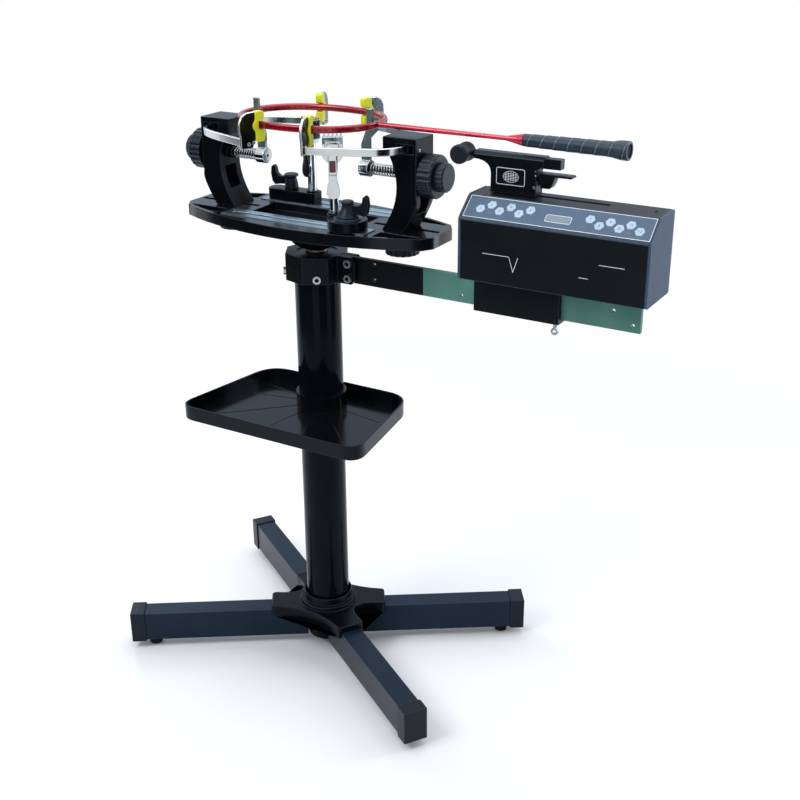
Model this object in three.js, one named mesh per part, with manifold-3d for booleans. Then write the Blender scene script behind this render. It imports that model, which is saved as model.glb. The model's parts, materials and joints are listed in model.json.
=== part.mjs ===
// An electronic racket stringing machine on a column stand, with a badminton racket in its six-point
// mounting. Millimetres, +Z up. The tension head is on the +X side and the keys face -Y. The origin lies
// on the floor, under the middle of the machine's bounding box.

import * as THREE from "three";
import { mergeVertices } from "three/addons/utils/BufferGeometryUtils.js";
import Module from "manifold-3d";

const wasm = await Module();
wasm.setup();

// Fits, overruns and facets that all pieces share
const clearance = 0.3;
const slidingGap = 0.5;
const overrun = 2;
const weldDistance = 0.001;
const fineSegmentCount = 36;
const mediumSegmentCount = 24;
const smallSegmentCount = 14;
const curveStepCount = 8;

// Stand: feet, legs and their end caps
const footRadius = 12;
const footHeight = 16;
const footTaper = 2;
const footInset = 38;
const legWidth = 38;
const legHeight = 56;
const legWall = 2;
const legReach = 366;
const legAngle = 33.7;
const capWall = 2;
const capLength = 26;
const capEnd = 3;

// Stand: star cover over the legs and its two-step collar
const starReach = 106;
const starTipHalfWidth = 25;
const starTipRound = 8;
const starWaist = 60;
const starRise = 12;
const starSkirt = 12;
const collarRadius = 52;
const collarHeight = 8;
const sleeveRadius = 44.5;
const sleeveHeight = 14;
const sleeveMouthRadius = 42;
const sleeveMouthDepth = 6;

// Column and tool tray
const postRadius = 39;
const postWall = 3;
const postTop = 748;
const trayFrontHalf = 182;
const trayBackHalf = 147;
const trayFront = 170;
const trayBack = 56;
const trayFrontRound = 34;
const trayBackRound = 44;
const trayBottom = 480;
const trayRim = 25;
const trayWall = 3;
const trayFloor = 3;
const trayCollarRadius = 44;
const trayCollarRise = 4;
const trayRibWidth = 2;
const trayRibHeight = 1;
const trayRibAngles = [170, 190, 225, 260, 290, 315, 350];
const trayRibEndGap = 12;

// Mast clamp, the arm that it holds, and the turntable's pivot bush
const clampBottom = 714;
const clampHeight = 46;
const clampAcross = 102;
const clampTurnAngle = 30;
const cheekReach = 82;
const cheekThickness = 9;
const cheekChamfer = 7;
const clampTopRecessRadius = 34;
const clampTopRecess = 2;
const armThickness = 8;
const armEnd = 570;
const armMargin = 0.5;
const armHoleRadius = 3;
const armHoleAlong = [114.5, 114.5, 526.6, 558, 274.9];
const armHoleShares = [0.84, 0.25, 0.65, 0.24, 0.25];
const bushRadius = 18.6;
const bushThickness = 3;
const stubRadius = 11;
const stubDown = 9;
const stubUp = 24;

// Turntable casting
const tableTop = 821;
const tableEdge = 19;
const tableHalfLength = 239.4;
const tableEndHalf = 29.5;
const tableEndSlant = 12;
const tableCornerHalf = 49;
const tableHalfWidth = 100;
const bossFootRadius = 20;
const bossHeadRadius = 62;
const windowHalfLength = 104;
const windowHalfWidth = 34;
const windowDepth = 13;
const slotStart = 114;
const slotRim = 7.4;
const slotWidth = 9;
const pocketStart = 152;
const pocketInner = 42;
const pocketRim = 6;
const pocketDepth = 8;

// Rails of bright steel, let into the casting
const railHalfLength = 139;
const railInner = 38.5;
const railOuter = 74;
const railHeight = 7;
const railProud = 1.5;
const railGrooveWidth = 7;
const railGrooveDepth = 4;
const railGrooveEnd = 14;

// Towers
const towerHeadInner = 147;
const towerOuter = 207;
const towerHalfWidth = 27;
const towerHeight = 146;
const towerHeadDepth = 26;
const towerFootInner = 144;
const towerFootOuter = 184;
const towerNeck = 157;
const towerInnerPull = 190;
const towerOuterPull = 212;
const towerWindowHalf = 14;
const towerWindowBottom = 27;
const towerWindowTop = 64;
const springSeatRadius = 11;
const springSeatFace = 158;
const armSlotInner = 172;
const armSlotOuter = 201;
const armSlotDepth = 20;
const axisHeight = 87;

// Tower lock knob under the turntable
const lockKnobRadius = 27.5;
const lockKnobHeight = 23;
const lockStudRadius = 4;
const lockStudRise = 12;
const lockKnobAlong = 166;
const lockKnobFluteCount = 16;

// Tension knobs on the outside of each tower
const bigKnobRadius = 34;
const bigKnobThickness = 23.4;
const bigKnobChamfer = 2.5;
const bigKnobFluteCount = 20;
const smallKnobRadius = 22.6;
const smallKnobThickness = 14.8;
const smallKnobChamfer = 2.5;
const smallKnobFluteCount = 18;
const smallKnobWall = 4;
const fluteDepth = 1.6;
const fluteStepCount = 4;
const knobNeckRadius = 17;
const knobNeckLength = 3;

// Spindle with its nose and centre support
const rodRadius = 4.5;
const noseRadius = 13;
const noseFace = 92.5;
const noseBack = 109.5;
const supportHalfThickness = 2.5;
const supportTop = 180;
const supportOuter = 109.5;
const supportInner = 93;
const supportShoulder = 125;
const supportTipOuter = 114;
const supportTipInner = 103.5;
const supportLip = 122;
const supportLipThickness = 4;

// Spring round the spindle
const springRadius = 8.5;
const springWire = 1;
const springCurlCount = 9;
const springEndRun = 2;
const springStepCount = 8;
const springSideCount = 5;

// Side arms, their holders and pads
const armPivotAlong = 188;
const armPivotAcross = 17;
const armEyeRadius = 8;
const armPinRadius = 3;
const armBarThickness = 6;
const armBarHeight = 12;
const armBarLevel = 129.5;
const armPullAlong = [180, 165];
const armPullAcross = [70, 69];
const armTipLead = 4;
const armTipBeyond = 17.4;
const holderAlong = 46;
const rightFrontAlong = 54;
const leftFrontAlong = 39;
const holderTurnAngle = 16;
const holderThickness = 4;
const holderInner = 96;
const holderOuter = 129;
const holderTop = 179;
const padWidth = 11;
const padNose = 82;
const padNotch = 93;
const padBack = 99;
const padWaist = 104;
const padTop = 179;
const padBottom = 132;
const padCorner = 5;
const padStepCount = 4;
const notchMargin = 0.7;

// Racket in the mounting
const racketLevel = 157;
const hoopHalfLength = 126;
const hoopHalfWidth = 95;
const hoopExponent = 2.2;
const hoopTubeWidth = 9.5;
const hoopTubeHeight = 11;
const hoopStepCount = 72;
const hoopSideCount = 8;
const shaftRadius = 3.5;
const throatRadius = 4.9;
const throatLength = 14;
const coneStart = 344;
const gripStart = 373;
const gripStartRadius = 9.5;
const gripRadius = 12;
const gripEnd = 534;
const buttRadius = 14.5;
const buttLength = 12;

// String clamps
const clampPostRadius = 7.5;
const baseHeight = 19;
const baseTongueDepth = 3;
const baseTongueGap = 0.5;
const rearBaseLeft = -130;
const rearBaseRight = -32;
const rearBaseHalf = 15;
const rearPostAlong = -43;
const rearKnobAlong = -86;
const frontBaseAlong = 100;
const frontBaseRadius = 31;
const frontPostAlong = 71;
const frontPostAcross = 50;
const frontPostBoss = 12;
const washerRadius = 22;
const washerThickness = 3;
const rearKnobCap = 12.5;
const rearKnobFoot = 12;
const frontKnobCap = 10.5;
const frontKnobFoot = 18;
const clampKnobWaist = 9;
const clampKnobShoulder = 11;
const rearHubRadius = 17;
const clampKnobHeight = 26;
const clampKnobCap = 6;
const wingReach = 40;
const wingThickness = 8;
const wingRoot = 4;
const wingTip = 24;
const rearHeadAngle = -15;
const frontHeadAngle = 30;
const yokeBottom = 103;
const yokeTop = 142;
const yokeHalfWidth = 16;
const yokeDepth = 15;
const yokeWall = 4.5;
const yokeBar = 6;
const yokeSill = 12;
const yokeFootInset = 7;
const yokeCornerRise = 9;
const toothCount = 5;
const toothHeight = 4;
const stringGap = 1.2;
const leverTop = 118;
const leverBottom = 47;
const leverWidth = 13;
const paddlePull = 16;
const paddleRise = 28;
const leverThickness = 5;
const leverGap = 0.6;
const leverEyeRadius = 4.5;
const leverInset = 1.5;
const leverPinRadius = 2;
const leverWindowLow = 89;
const leverWindowHigh = 107;
const leverWindowHalf = 4.6;

// Tension head
const headLeft = 298;
const headLength = 299;
const headFront = 62;
const headBack = 27.5;
const headBottom = 774;
const headFrontRise = 94;
const headRise = 123;
const headBevelBack = 28;
const headWall = 2.5;
const endCapThickness = 3.5;
const endCapRound = 4;
const capOverhang = 0.5;
const headSlotLeft = 322;
const headSlotRight = 508;
const headSlotWidth = 10;
const headSlotMiddle = 6;
const bracketRight = 445;
const bracketHalf = 14;
const bracketFloor = 5;
const thumbAlong = 434;
const thumbRadius = 3;
const thumbLength = 20;
const thumbEyeRadius = 6;
const thumbEyeHole = 2.6;
const thumbEyeThickness = 5;

// Gripper on the tension head
const gripperLeft = 323;
const gripperRight = 397;
const gripperMiddle = 4;
const gripperHalf = 12;
const gripperLift = 1;
const gripperRise = 60;
const gripperArmLeft = 294;
const gripperArmHeight = 12;
const gripperFillet = 20;
const gripperSlotRoof = 6;
const gripperNose = 408;
const gripperFacet = 7;
const jawRight = 433;
const jawLowRise = 43;
const jawHighRise = 58;
const jawHalf = 7;
const neckHalf = 4;
const carriageHalf = 12;
const carriageThickness = 6;
const diabloAlong = 278;
const diabloRise = 55;
const diabloRadius = 14.5;
const diabloWaist = 12.5;
const diabloFront = 28;
const diabloBack = 6;
const diabloGroove = 8;
const fingerBodyRight = 420;
const fingerTip = 454;
const fingerHighRise = 36;
const fingerLowRise = 14;
const fingerHalf = 8;
const fingerTongue = 6;
const fingerAxis = 390;
const fingerAxisRise = 25;
const fingerEyeRadius = 6;
const fingerSlotHalf = 9;
const fingerPinRadius = 2.5;
const fingerLean = 5;
const tongueReach = 10;
const fingerTipThickness = 4;

// Heights and places that follow from the sizes above
const legBottom = footHeight;
const legTop = legBottom + legHeight;
const starTop = legTop + starRise;
const starBottom = legTop - starSkirt;
const clampTop = clampBottom + clampHeight;
const armBottom = clampBottom + armMargin;
const armTop = clampTop - armMargin;
const armStart = postRadius + cheekThickness + overrun;
const bushTop = clampTop + bushThickness;
const tableBottom = tableTop - tableEdge;
const slotEnd = tableHalfLength - slotRim;
const railMiddle = (railInner + railOuter) / 2;
const railTop = tableTop + railProud;
const baseBottom = railTop + clearance;
const baseTop = baseBottom + baseHeight;
const axisLevel = tableTop + axisHeight;
const racketZ = tableTop + racketLevel;
const armBarZ = tableTop + armBarLevel;
const headRight = headLeft + headLength;
const headTop = headBottom + headRise;
const gripperTop = headTop + gripperRise;
const jawBottom = headTop + jawLowRise;
const jawTop = headTop + jawHighRise;
const diabloLevel = headTop + diabloRise;
const fingerTop = headTop + fingerHighRise;
const fingerBottom = headTop + fingerLowRise;
const fingerLevel = headTop + fingerAxisRise;
const gripperShoulder = fingerLevel + fingerSlotHalf + gripperSlotRoof;
const bracketLeft = headLeft + endCapThickness + clearance;
const leverAxisAcross = leverInset - yokeDepth / 2;
const bigKnobInner = towerOuter + clearance;
const bigRimInner = bigKnobInner + knobNeckLength;
const bigKnobOuter = bigRimInner + bigKnobThickness;
const smallKnobInner = bigKnobOuter + clearance;
const smallKnobOuter = smallKnobInner + smallKnobThickness;
const radians = Math.PI / 180;

// Finishes
const finishes = {
  blackPaint: { color: 0x15171a, roughness: 0.3, metalness: 0.2 },
  blackPlastic: { color: 0x1a1b1d, roughness: 0.55, metalness: 0 },
  rubber: { color: 0x111111, roughness: 0.9, metalness: 0 },
  chrome: { color: 0xd6d9dc, roughness: 0.12, metalness: 1 },
  steel: { color: 0xb8bec2, roughness: 0.32, metalness: 1 },
  brass: { color: 0xb5894c, roughness: 0.3, metalness: 1 },
  greenFilm: { color: 0x4f7f6c, roughness: 0.5, metalness: 0.1 },
  greyPanel: { color: 0x5c6672, roughness: 0.45, metalness: 0.2 },
  yellowPad: { color: 0xe4e51c, roughness: 0.5, metalness: 0 },
  redLacquer: { color: 0xb0162a, roughness: 0.2, metalness: 0.3 },
  gripTape: { color: 0x4d5a61, roughness: 0.6, metalness: 0 },
};

function finish(name) {
  return new THREE.MeshStandardMaterial(finishes[name]);
}

// Solids and geometries: booleans go through manifold-3d and come back as geometries
function solidOf(geometry) {
  const bare = geometry.clone();
  bare.deleteAttribute("normal");
  bare.deleteAttribute("uv");
  const merged = mergeVertices(bare, weldDistance);
  const mesh = new wasm.Mesh({
    numProp: 3,
    vertProperties: merged.attributes.position.array,
    triVerts: new Uint32Array(merged.index.array),
  });
  return new wasm.Manifold(mesh);
}

function geometryOf(solid) {
  const mesh = solid.getMesh();
  const geometry = new THREE.BufferGeometry();
  geometry.setAttribute("position", new THREE.BufferAttribute(new Float32Array(mesh.vertProperties), 3));
  geometry.setIndex(new THREE.BufferAttribute(new Uint32Array(mesh.triVerts), 1));
  geometry.computeVertexNormals();
  return geometry;
}

function join(first, ...others) {
  return geometryOf(others.reduce((whole, piece) => whole.add(solidOf(piece)), solidOf(first)));
}

function cut(base, ...tools) {
  return geometryOf(tools.reduce((rest, tool) => rest.subtract(solidOf(tool)), solidOf(base)));
}

// Outlines
function outline(points) {
  return new THREE.Shape(points.map(([across, up]) => new THREE.Vector2(across, up)));
}

function mirrored(points) {
  return [...points, ...points.map(([across, up]) => [-across, up]).reverse()];
}

function roundedOutline(corners, radii) {
  const shape = new THREE.Shape();
  corners.forEach((corner, i) => {
    const here = new THREE.Vector2(...corner);
    const before = new THREE.Vector2(...corners.at(i - 1));
    const after = new THREE.Vector2(...corners[(i + 1) % corners.length]);
    const start = here.clone().add(before.sub(here).setLength(radii[i]));
    const end = here.clone().add(after.sub(here).setLength(radii[i]));
    if (i === 0) shape.moveTo(start.x, start.y);
    else shape.lineTo(start.x, start.y);
    shape.quadraticCurveTo(here.x, here.y, end.x, end.y);
  });
  shape.closePath();
  return shape;
}

function ribbon(curve, width, steps) {
  const sides = [1, -1].map((side) =>
    Array.from({ length: steps + 1 }, (_, i) => {
      const point = curve.getPoint(i / steps);
      const along = curve.getTangent(i / steps);
      return [point.x - side * along.y * width / 2, point.y + side * along.x * width / 2];
    }),
  );
  return outline([...sides[1], ...sides[0].reverse()]);
}

function flutedOutline(radius, flutes, depth) {
  const steps = flutes * fluteStepCount;
  return outline(
    Array.from({ length: steps }, (_, i) => {
      const reach = i % fluteStepCount === 0 ? radius - depth : radius;
      const angle = (2 * Math.PI * i) / steps;
      return [reach * Math.cos(angle), reach * Math.sin(angle)];
    }),
  );
}

// Prisms along each axis, turned solids round each axis, and boxes
function prism(shape, depth, steps = curveStepCount) {
  return new THREE.ExtrudeGeometry(shape, { depth, bevelEnabled: false, curveSegments: steps });
}

function prismZ(shape, bottom, top, steps) {
  return prism(shape, top - bottom, steps).translate(0, 0, bottom);
}

function prismY(shape, front, back, steps) {
  return prism(shape, back - front, steps).rotateX(Math.PI / 2).translate(0, back, 0);
}

function prismX(shape, left, right, steps) {
  const turn = new THREE.Matrix4().makeBasis(
    new THREE.Vector3(0, 1, 0),
    new THREE.Vector3(0, 0, 1),
    new THREE.Vector3(1, 0, 0),
  );
  return prism(shape, right - left, steps).applyMatrix4(turn).translate(left, 0, 0);
}

function turnedY(profile, segments) {
  const points = profile.map(([radius, along]) => new THREE.Vector2(radius, along));
  return new THREE.LatheGeometry(points, segments);
}

function turnedZ(profile, segments = mediumSegmentCount) {
  return turnedY(profile, segments).rotateX(Math.PI / 2);
}

function turnedX(profile, segments = mediumSegmentCount) {
  return turnedZ(profile, segments).rotateY(Math.PI / 2);
}

function rod(radius, start, end) {
  return [[0, start], [radius, start], [radius, end], [0, end]];
}

function ring(inner, outer, bottom, top) {
  return [[inner, bottom], [outer, bottom], [outer, top], [inner, top], [inner, bottom]];
}

function box([x0, x1], [y0, y1], [z0, z1]) {
  const block = new THREE.BoxGeometry(x1 - x0, y1 - y0, z1 - z0);
  return block.translate((x0 + x1) / 2, (y0 + y1) / 2, (z0 + z1) / 2);
}

function part(parent, name, geometry, finishName) {
  const mesh = new THREE.Mesh(geometry, finish(finishName));
  mesh.name = name;
  parent.add(mesh);
  return mesh;
}

// Legs: each is built along +X and turned to its place
function addLegs(stand) {
  const names = ["front_right", "back_right", "back_left", "front_left"];
  const angles = [-legAngle, legAngle, 180 - legAngle, 180 + legAngle];
  names.forEach((name, i) => {
    const group = new THREE.Group();
    group.rotation.z = angles[i] * radians;
    stand.add(group);
    part(group, `leg_${name}`, legTube(), "blackPaint");
    part(group, `leg_cap_${name}`, legCap(), "blackPlastic");
    part(group, `foot_${name}`, foot().translate(legReach - footInset, 0, 0), "rubber");
  });
}

function legTube() {
  const start = postRadius + clearance;
  const half = legWidth / 2;
  const tube = box([start, legReach], [-half, half], [legBottom, legTop]);
  const bore = box(
    [start - overrun, legReach + overrun],
    [legWall - half, half - legWall],
    [legBottom + legWall, legTop - legWall],
  );
  return cut(tube, bore);
}

function legCap() {
  const half = legWidth / 2 + clearance;
  const outer = box(
    [legReach + capEnd - capLength, legReach + capEnd],
    [-half - capWall, half + capWall],
    [legBottom - clearance - capWall, legTop + clearance + capWall],
  );
  const pocket = box(
    [legReach - capLength - overrun, legReach + clearance],
    [-half, half],
    [legBottom - clearance, legTop + clearance],
  );
  return cut(outer, pocket);
}

function foot() {
  const profile = [
    [0, 0],
    [footRadius - footTaper, 0],
    [footRadius, footTaper],
    [footRadius - footTaper, footHeight],
    [0, footHeight],
  ];
  return turnedZ(profile, smallSegmentCount);
}

// Star cover: four rounded tips over the legs, drawn in between them, with a two-step collar
function baseStar() {
  const shape = new THREE.Shape();
  const tips = [-legAngle, legAngle, 180 - legAngle, 180 + legAngle];
  tips.forEach((tip, i) => {
    const turn = (along, across, angle = tip * radians) => [
      along * Math.cos(angle) - across * Math.sin(angle),
      along * Math.sin(angle) + across * Math.cos(angle),
    ];
    if (i === 0) shape.moveTo(...turn(starReach - starTipRound, -starTipHalfWidth));
    shape.quadraticCurveTo(
      ...turn(starReach, -starTipHalfWidth),
      ...turn(starReach, starTipRound - starTipHalfWidth),
    );
    shape.lineTo(...turn(starReach, starTipHalfWidth - starTipRound));
    shape.quadraticCurveTo(
      ...turn(starReach, starTipHalfWidth),
      ...turn(starReach - starTipRound, starTipHalfWidth),
    );
    const next = i === 3 ? tips[0] + 360 : tips[i + 1];
    const middle = ((tip + next) / 2) * radians;
    const spread = ((next - tip) / 2) * radians;
    const shoulder = (starReach - starTipRound) * Math.cos(spread) + starTipHalfWidth * Math.sin(spread);
    const pull = 2 * starWaist - shoulder;
    shape.quadraticCurveTo(
      pull * Math.cos(middle),
      pull * Math.sin(middle),
      ...turn(starReach - starTipRound, -starTipHalfWidth, next * radians),
    );
  });
  const plate = prismZ(shape, starBottom, starTop, curveStepCount);
  const collarTop = starTop + collarHeight;
  const sleeveTop = collarTop + sleeveHeight;
  const collar = turnedZ(
    [
      [0, starBottom],
      [collarRadius, starBottom],
      [collarRadius, collarTop],
      [sleeveRadius, collarTop],
      [sleeveRadius, sleeveTop],
      [0, sleeveTop],
    ],
    fineSegmentCount,
  );
  const bore = turnedZ(
    [
      [0, starBottom - overrun],
      [postRadius + clearance, starBottom - overrun],
      [postRadius + clearance, sleeveTop - sleeveMouthDepth],
      [sleeveMouthRadius, sleeveTop - sleeveMouthDepth],
      [sleeveMouthRadius, sleeveTop + overrun],
      [0, sleeveTop + overrun],
    ],
    fineSegmentCount,
  );
  const half = legWidth / 2 + clearance;
  const channels = tips.map((tip) =>
    box([0, starReach + overrun], [-half, half], [starBottom - overrun, legTop + clearance]).rotateZ(
      tip * radians,
    ),
  );
  return cut(join(plate, collar), bore, ...channels);
}

function postTube() {
  return turnedZ(ring(postRadius - postWall, postRadius, legBottom, postTop), fineSegmentCount);
}

// Tool tray: a shallow dish, wide at the front, on a collar that slides on the column
function toolTray() {
  const corners = (inset) => [
    [trayFrontHalf - inset, inset - trayFront],
    [trayBackHalf - inset, trayBack - inset],
    [inset - trayBackHalf, trayBack - inset],
    [inset - trayFrontHalf, inset - trayFront],
  ];
  const cornerRounds = [trayFrontRound, trayBackRound, trayBackRound, trayFrontRound];
  const rounds = (inset) => cornerRounds.map((round) => round - inset);
  const top = trayBottom + trayRim;
  const floorTop = trayBottom + trayFloor;
  const outer = prismZ(roundedOutline(corners(0), rounds(0)), trayBottom, top);
  const inner = prismZ(roundedOutline(corners(trayWall), rounds(trayWall)), floorTop, top + overrun);
  const collar = turnedZ(rod(trayCollarRadius, trayBottom, top + trayCollarRise), fineSegmentCount);
  const bore = turnedZ(
    rod(postRadius + clearance, trayBottom - overrun, top + trayCollarRise + overrun),
    fineSegmentCount,
  );
  const ribs = trayRibAngles.map((angle) => {
    const away = angle * radians;
    const reachAcross = trayFront - trayWall - trayRibEndGap;
    const reachAlong = trayBackHalf - trayWall - trayRibEndGap;
    const length = Math.min(reachAcross / Math.abs(Math.sin(away)), reachAlong / Math.abs(Math.cos(away)));
    const rib = box(
      [postRadius + overrun, length],
      [-trayRibWidth / 2, trayRibWidth / 2],
      [floorTop - trayRibHeight, floorTop + trayRibHeight],
    );
    return rib.rotateZ(away);
  });
  return cut(join(cut(outer, inner), collar, ...ribs), bore);
}

// Mast clamp: an eight-sided block over the column's top, with two cheeks that grip the arm
function mastClamp() {
  const corner = clampAcross / 2 / Math.cos(Math.PI / 8);
  const sides = 8;
  const block = outline(
    Array.from({ length: sides }, (_, i) => {
      const angle = clampTurnAngle * radians + (Math.PI * (2 * i + 1)) / sides;
      return [corner * Math.cos(angle), corner * Math.sin(angle)];
    }),
  );
  const cheekHalf = armThickness / 2 + clearance + cheekThickness;
  const cheek = outline([
    [postRadius, clampBottom],
    [cheekReach - cheekChamfer, clampBottom],
    [cheekReach, clampBottom + cheekChamfer],
    [cheekReach, clampTop - cheekChamfer],
    [cheekReach - cheekChamfer, clampTop],
    [postRadius, clampTop],
  ]);
  const body = join(prismZ(block, clampBottom, clampTop), prismY(cheek, -cheekHalf, cheekHalf));
  const armSlot = box(
    [armStart - clearance, cheekReach + overrun],
    [-armThickness / 2 - clearance, armThickness / 2 + clearance],
    [clampBottom - overrun, clampTop + overrun],
  );
  const postBore = turnedZ(
    rod(postRadius + clearance, clampBottom - overrun, postTop + clearance),
    fineSegmentCount,
  );
  const pinBore = turnedZ(rod(stubRadius + clearance, postTop - overrun, clampTop + overrun));
  const recess = turnedZ(
    ring(bushRadius + clearance, clampTopRecessRadius, clampTop - clampTopRecess, clampTop + overrun),
  );
  return cut(body, armSlot, postBore, pinBore, recess);
}

function armBar() {
  const bar = box([armStart, armEnd], [-armThickness / 2, armThickness / 2], [armBottom, armTop]);
  const holes = armHoleAlong.map((along, i) => {
    const level = armBottom + armHoleShares[i] * (armTop - armBottom);
    const hole = turnedY(rod(armHoleRadius, -armThickness, armThickness), smallSegmentCount);
    return hole.translate(along, 0, level);
  });
  return cut(bar, ...holes);
}

function pivotBush() {
  return turnedZ([
    [0, clampTop - stubDown],
    [stubRadius, clampTop - stubDown],
    [stubRadius, clampTop + clearance],
    [bushRadius, clampTop + clearance],
    [bushRadius, bushTop],
    [stubRadius, bushTop],
    [stubRadius, bushTop + stubUp],
    [0, bushTop + stubUp],
  ]);
}

// Turntable: long sides drawn as one arc each, slanted corners and flat ends
function tableRadius() {
  const rise = tableHalfWidth - tableCornerHalf;
  const run = tableHalfLength - tableEndSlant;
  return (run * run + rise * rise) / (2 * rise);
}

function tableSide(inset, from, to, steps) {
  const radius = tableRadius();
  const centre = radius - tableHalfWidth;
  return Array.from({ length: steps + 1 }, (_, i) => {
    const along = from + ((to - from) * i) / steps;
    return [along, centre - Math.sqrt((radius - inset) ** 2 - along ** 2)];
  });
}

function tableOutline() {
  const run = tableHalfLength - tableEndSlant;
  const front = tableSide(0, -run, run, curveStepCount * 2);
  const back = tableSide(0, -run, run, curveStepCount * 2).map(([along, across]) => [-along, -across]);
  return outline([
    ...front,
    [tableHalfLength, -tableEndHalf],
    [tableHalfLength, tableEndHalf],
    ...back,
    [-tableHalfLength, tableEndHalf],
    [-tableHalfLength, -tableEndHalf],
  ]);
}

function tablePocket() {
  const run = tableHalfLength - tableEndSlant - pocketRim;
  const curve = tableSide(pocketRim, pocketStart, run, curveStepCount);
  const shape = outline([...curve, [run, -pocketInner], [pocketStart, -pocketInner]]);
  return prismZ(shape, tableTop - pocketDepth, tableTop + overrun);
}

function turntablePlate() {
  const slab = prismZ(tableOutline(), tableBottom, tableTop);
  const bossRise = tableBottom - bushTop;
  const flareShares = [[0, 0.02], [0.16, 0.1], [0.42, 0.27], [0.76, 0.62], [1, 1]];
  const flare = flareShares.map(([outShare, upShare]) => [
    bossFootRadius + outShare * (bossHeadRadius - bossFootRadius),
    bushTop + clearance + upShare * (bossRise - clearance),
  ]);
  const bossRoot = tableBottom + overrun;
  const boss = turnedZ(
    [[0, bushTop + clearance], ...flare, [bossHeadRadius, bossRoot], [0, bossRoot]],
    fineSegmentCount,
  );
  const pinBore = turnedZ(rod(stubRadius + clearance, bushTop - overrun, bushTop + stubUp + clearance));
  const hollow = box(
    [-windowHalfLength, windowHalfLength],
    [-windowHalfWidth, windowHalfWidth],
    [tableTop - windowDepth, tableTop + overrun],
  );
  const railSeats = [1, -1].map((side) =>
    box(
      [-railHalfLength - clearance, railHalfLength + clearance],
      [railInner - clearance, railOuter + clearance],
      [tableTop + railProud - railHeight - clearance, tableTop + overrun],
    ).rotateZ(side > 0 ? 0 : Math.PI),
  );
  const slots = [1, -1].map((side) =>
    box(
      [slotStart, slotEnd],
      [-slotWidth / 2, slotWidth / 2],
      [tableBottom - overrun, tableTop + overrun],
    ).rotateZ(side > 0 ? 0 : Math.PI),
  );
  const flips = [[1, 1], [-1, 1], [1, -1], [-1, -1]];
  const pockets = flips.map(([x, y]) => {
    const pocket = solidOf(tablePocket());
    const mirrorX = x < 0 ? pocket.mirror([1, 0, 0]) : pocket;
    return geometryOf(y < 0 ? mirrorX.mirror([0, 1, 0]) : mirrorX);
  });
  return cut(join(slab, boss), pinBore, hollow, ...railSeats, ...slots, ...pockets);
}

// Rail: a flat steel bar with one long groove that guides a string clamp
function rail() {
  const bottom = railTop - railHeight;
  const bar = box([-railHalfLength, railHalfLength], [railInner, railOuter], [bottom, railTop]);
  const groove = box(
    [railGrooveEnd - railHalfLength, railHalfLength - railGrooveEnd],
    [railMiddle - railGrooveWidth / 2, railMiddle + railGrooveWidth / 2],
    [railTop - railGrooveDepth, railTop + overrun],
  );
  return cut(bar, groove);
}

// Tower: a C in side view with a window through it, a block head and slots for the side arms
function tower() {
  const top = tableTop + towerHeight;
  const headLow = top - towerHeadDepth;
  const pullLevel = tableTop + (towerHeight - towerHeadDepth) / 2;
  const side = new THREE.Shape();
  side.moveTo(towerFootInner, tableTop);
  side.lineTo(towerFootOuter, tableTop);
  side.quadraticCurveTo(towerOuterPull, tableTop + axisHeight / 2, towerOuter, axisLevel - bigKnobRadius);
  side.lineTo(towerOuter, top);
  side.lineTo(towerHeadInner, top);
  side.lineTo(towerHeadInner, headLow);
  side.lineTo(towerNeck, headLow);
  side.quadraticCurveTo(towerInnerPull, pullLevel, towerFootInner, tableTop);
  const web = prismY(side, -towerHalfWidth, towerHalfWidth, curveStepCount + 2);
  const seat = turnedX(rod(springSeatRadius, springSeatFace, towerOuter - overrun));
  seat.translate(0, 0, axisLevel);
  const window = box(
    [towerFootInner - overrun, towerOuterPull],
    [-towerWindowHalf, towerWindowHalf],
    [tableTop + towerWindowBottom, tableTop + towerWindowTop],
  );
  const bore = turnedX(
    rod(rodRadius + clearance, springSeatFace - overrun, towerOuter + overrun),
    smallSegmentCount,
  ).translate(0, 0, axisLevel);
  const slots = [1, -1].map((face) => {
    const depths = [face * (towerHalfWidth - armSlotDepth), face * (towerHalfWidth + overrun)];
    return box(
      [armSlotInner, armSlotOuter],
      depths.sort((a, b) => a - b),
      [armBarZ - armBarHeight / 2 - slidingGap, armBarZ + armBarHeight / 2 + slidingGap],
    );
  });
  const pins = [1, -1].map((face) =>
    turnedZ(
      rod(armPinRadius, armBarZ - armBarHeight / 2 - overrun, armBarZ + armBarHeight / 2 + overrun),
      smallSegmentCount,
    ).translate(armPivotAlong, face * armPivotAcross, 0),
  );
  return join(cut(join(web, seat), window, bore, ...slots), ...pins);
}

function lockKnob() {
  const top = tableBottom - clearance;
  const rim = flutedOutline(lockKnobRadius, lockKnobFluteCount, fluteDepth);
  const body = prismZ(rim, top - lockKnobHeight, top);
  const stud = turnedZ(rod(lockStudRadius, top - overrun, top + lockStudRise), smallSegmentCount);
  return join(body, stud).translate(lockKnobAlong, 0, 0);
}

// Knobs on the tower: fluted rims with turned fronts, both on the spindle's axis
function flutedKnob(radius, flutes, chamfer, inner, outer) {
  const rim = prismX(flutedOutline(radius, flutes, fluteDepth), inner, outer);
  const turning = turnedX([
    [0, inner - overrun],
    [radius + overrun, inner - overrun],
    [radius + overrun, outer - chamfer - overrun],
    [radius - chamfer, outer],
    [0, outer],
  ]);
  return geometryOf(solidOf(rim).intersect(solidOf(turning)));
}

function rodBore(from, to) {
  return turnedX(rod(rodRadius + clearance, from, to), smallSegmentCount);
}

function bigKnob() {
  const rim = flutedKnob(bigKnobRadius, bigKnobFluteCount, bigKnobChamfer, bigRimInner, bigKnobOuter);
  const neck = turnedX(rod(knobNeckRadius, bigKnobInner, bigRimInner + overrun));
  const bore = rodBore(bigKnobInner - overrun, bigKnobOuter + overrun);
  return cut(join(rim, neck), bore).translate(0, 0, axisLevel);
}

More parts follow.
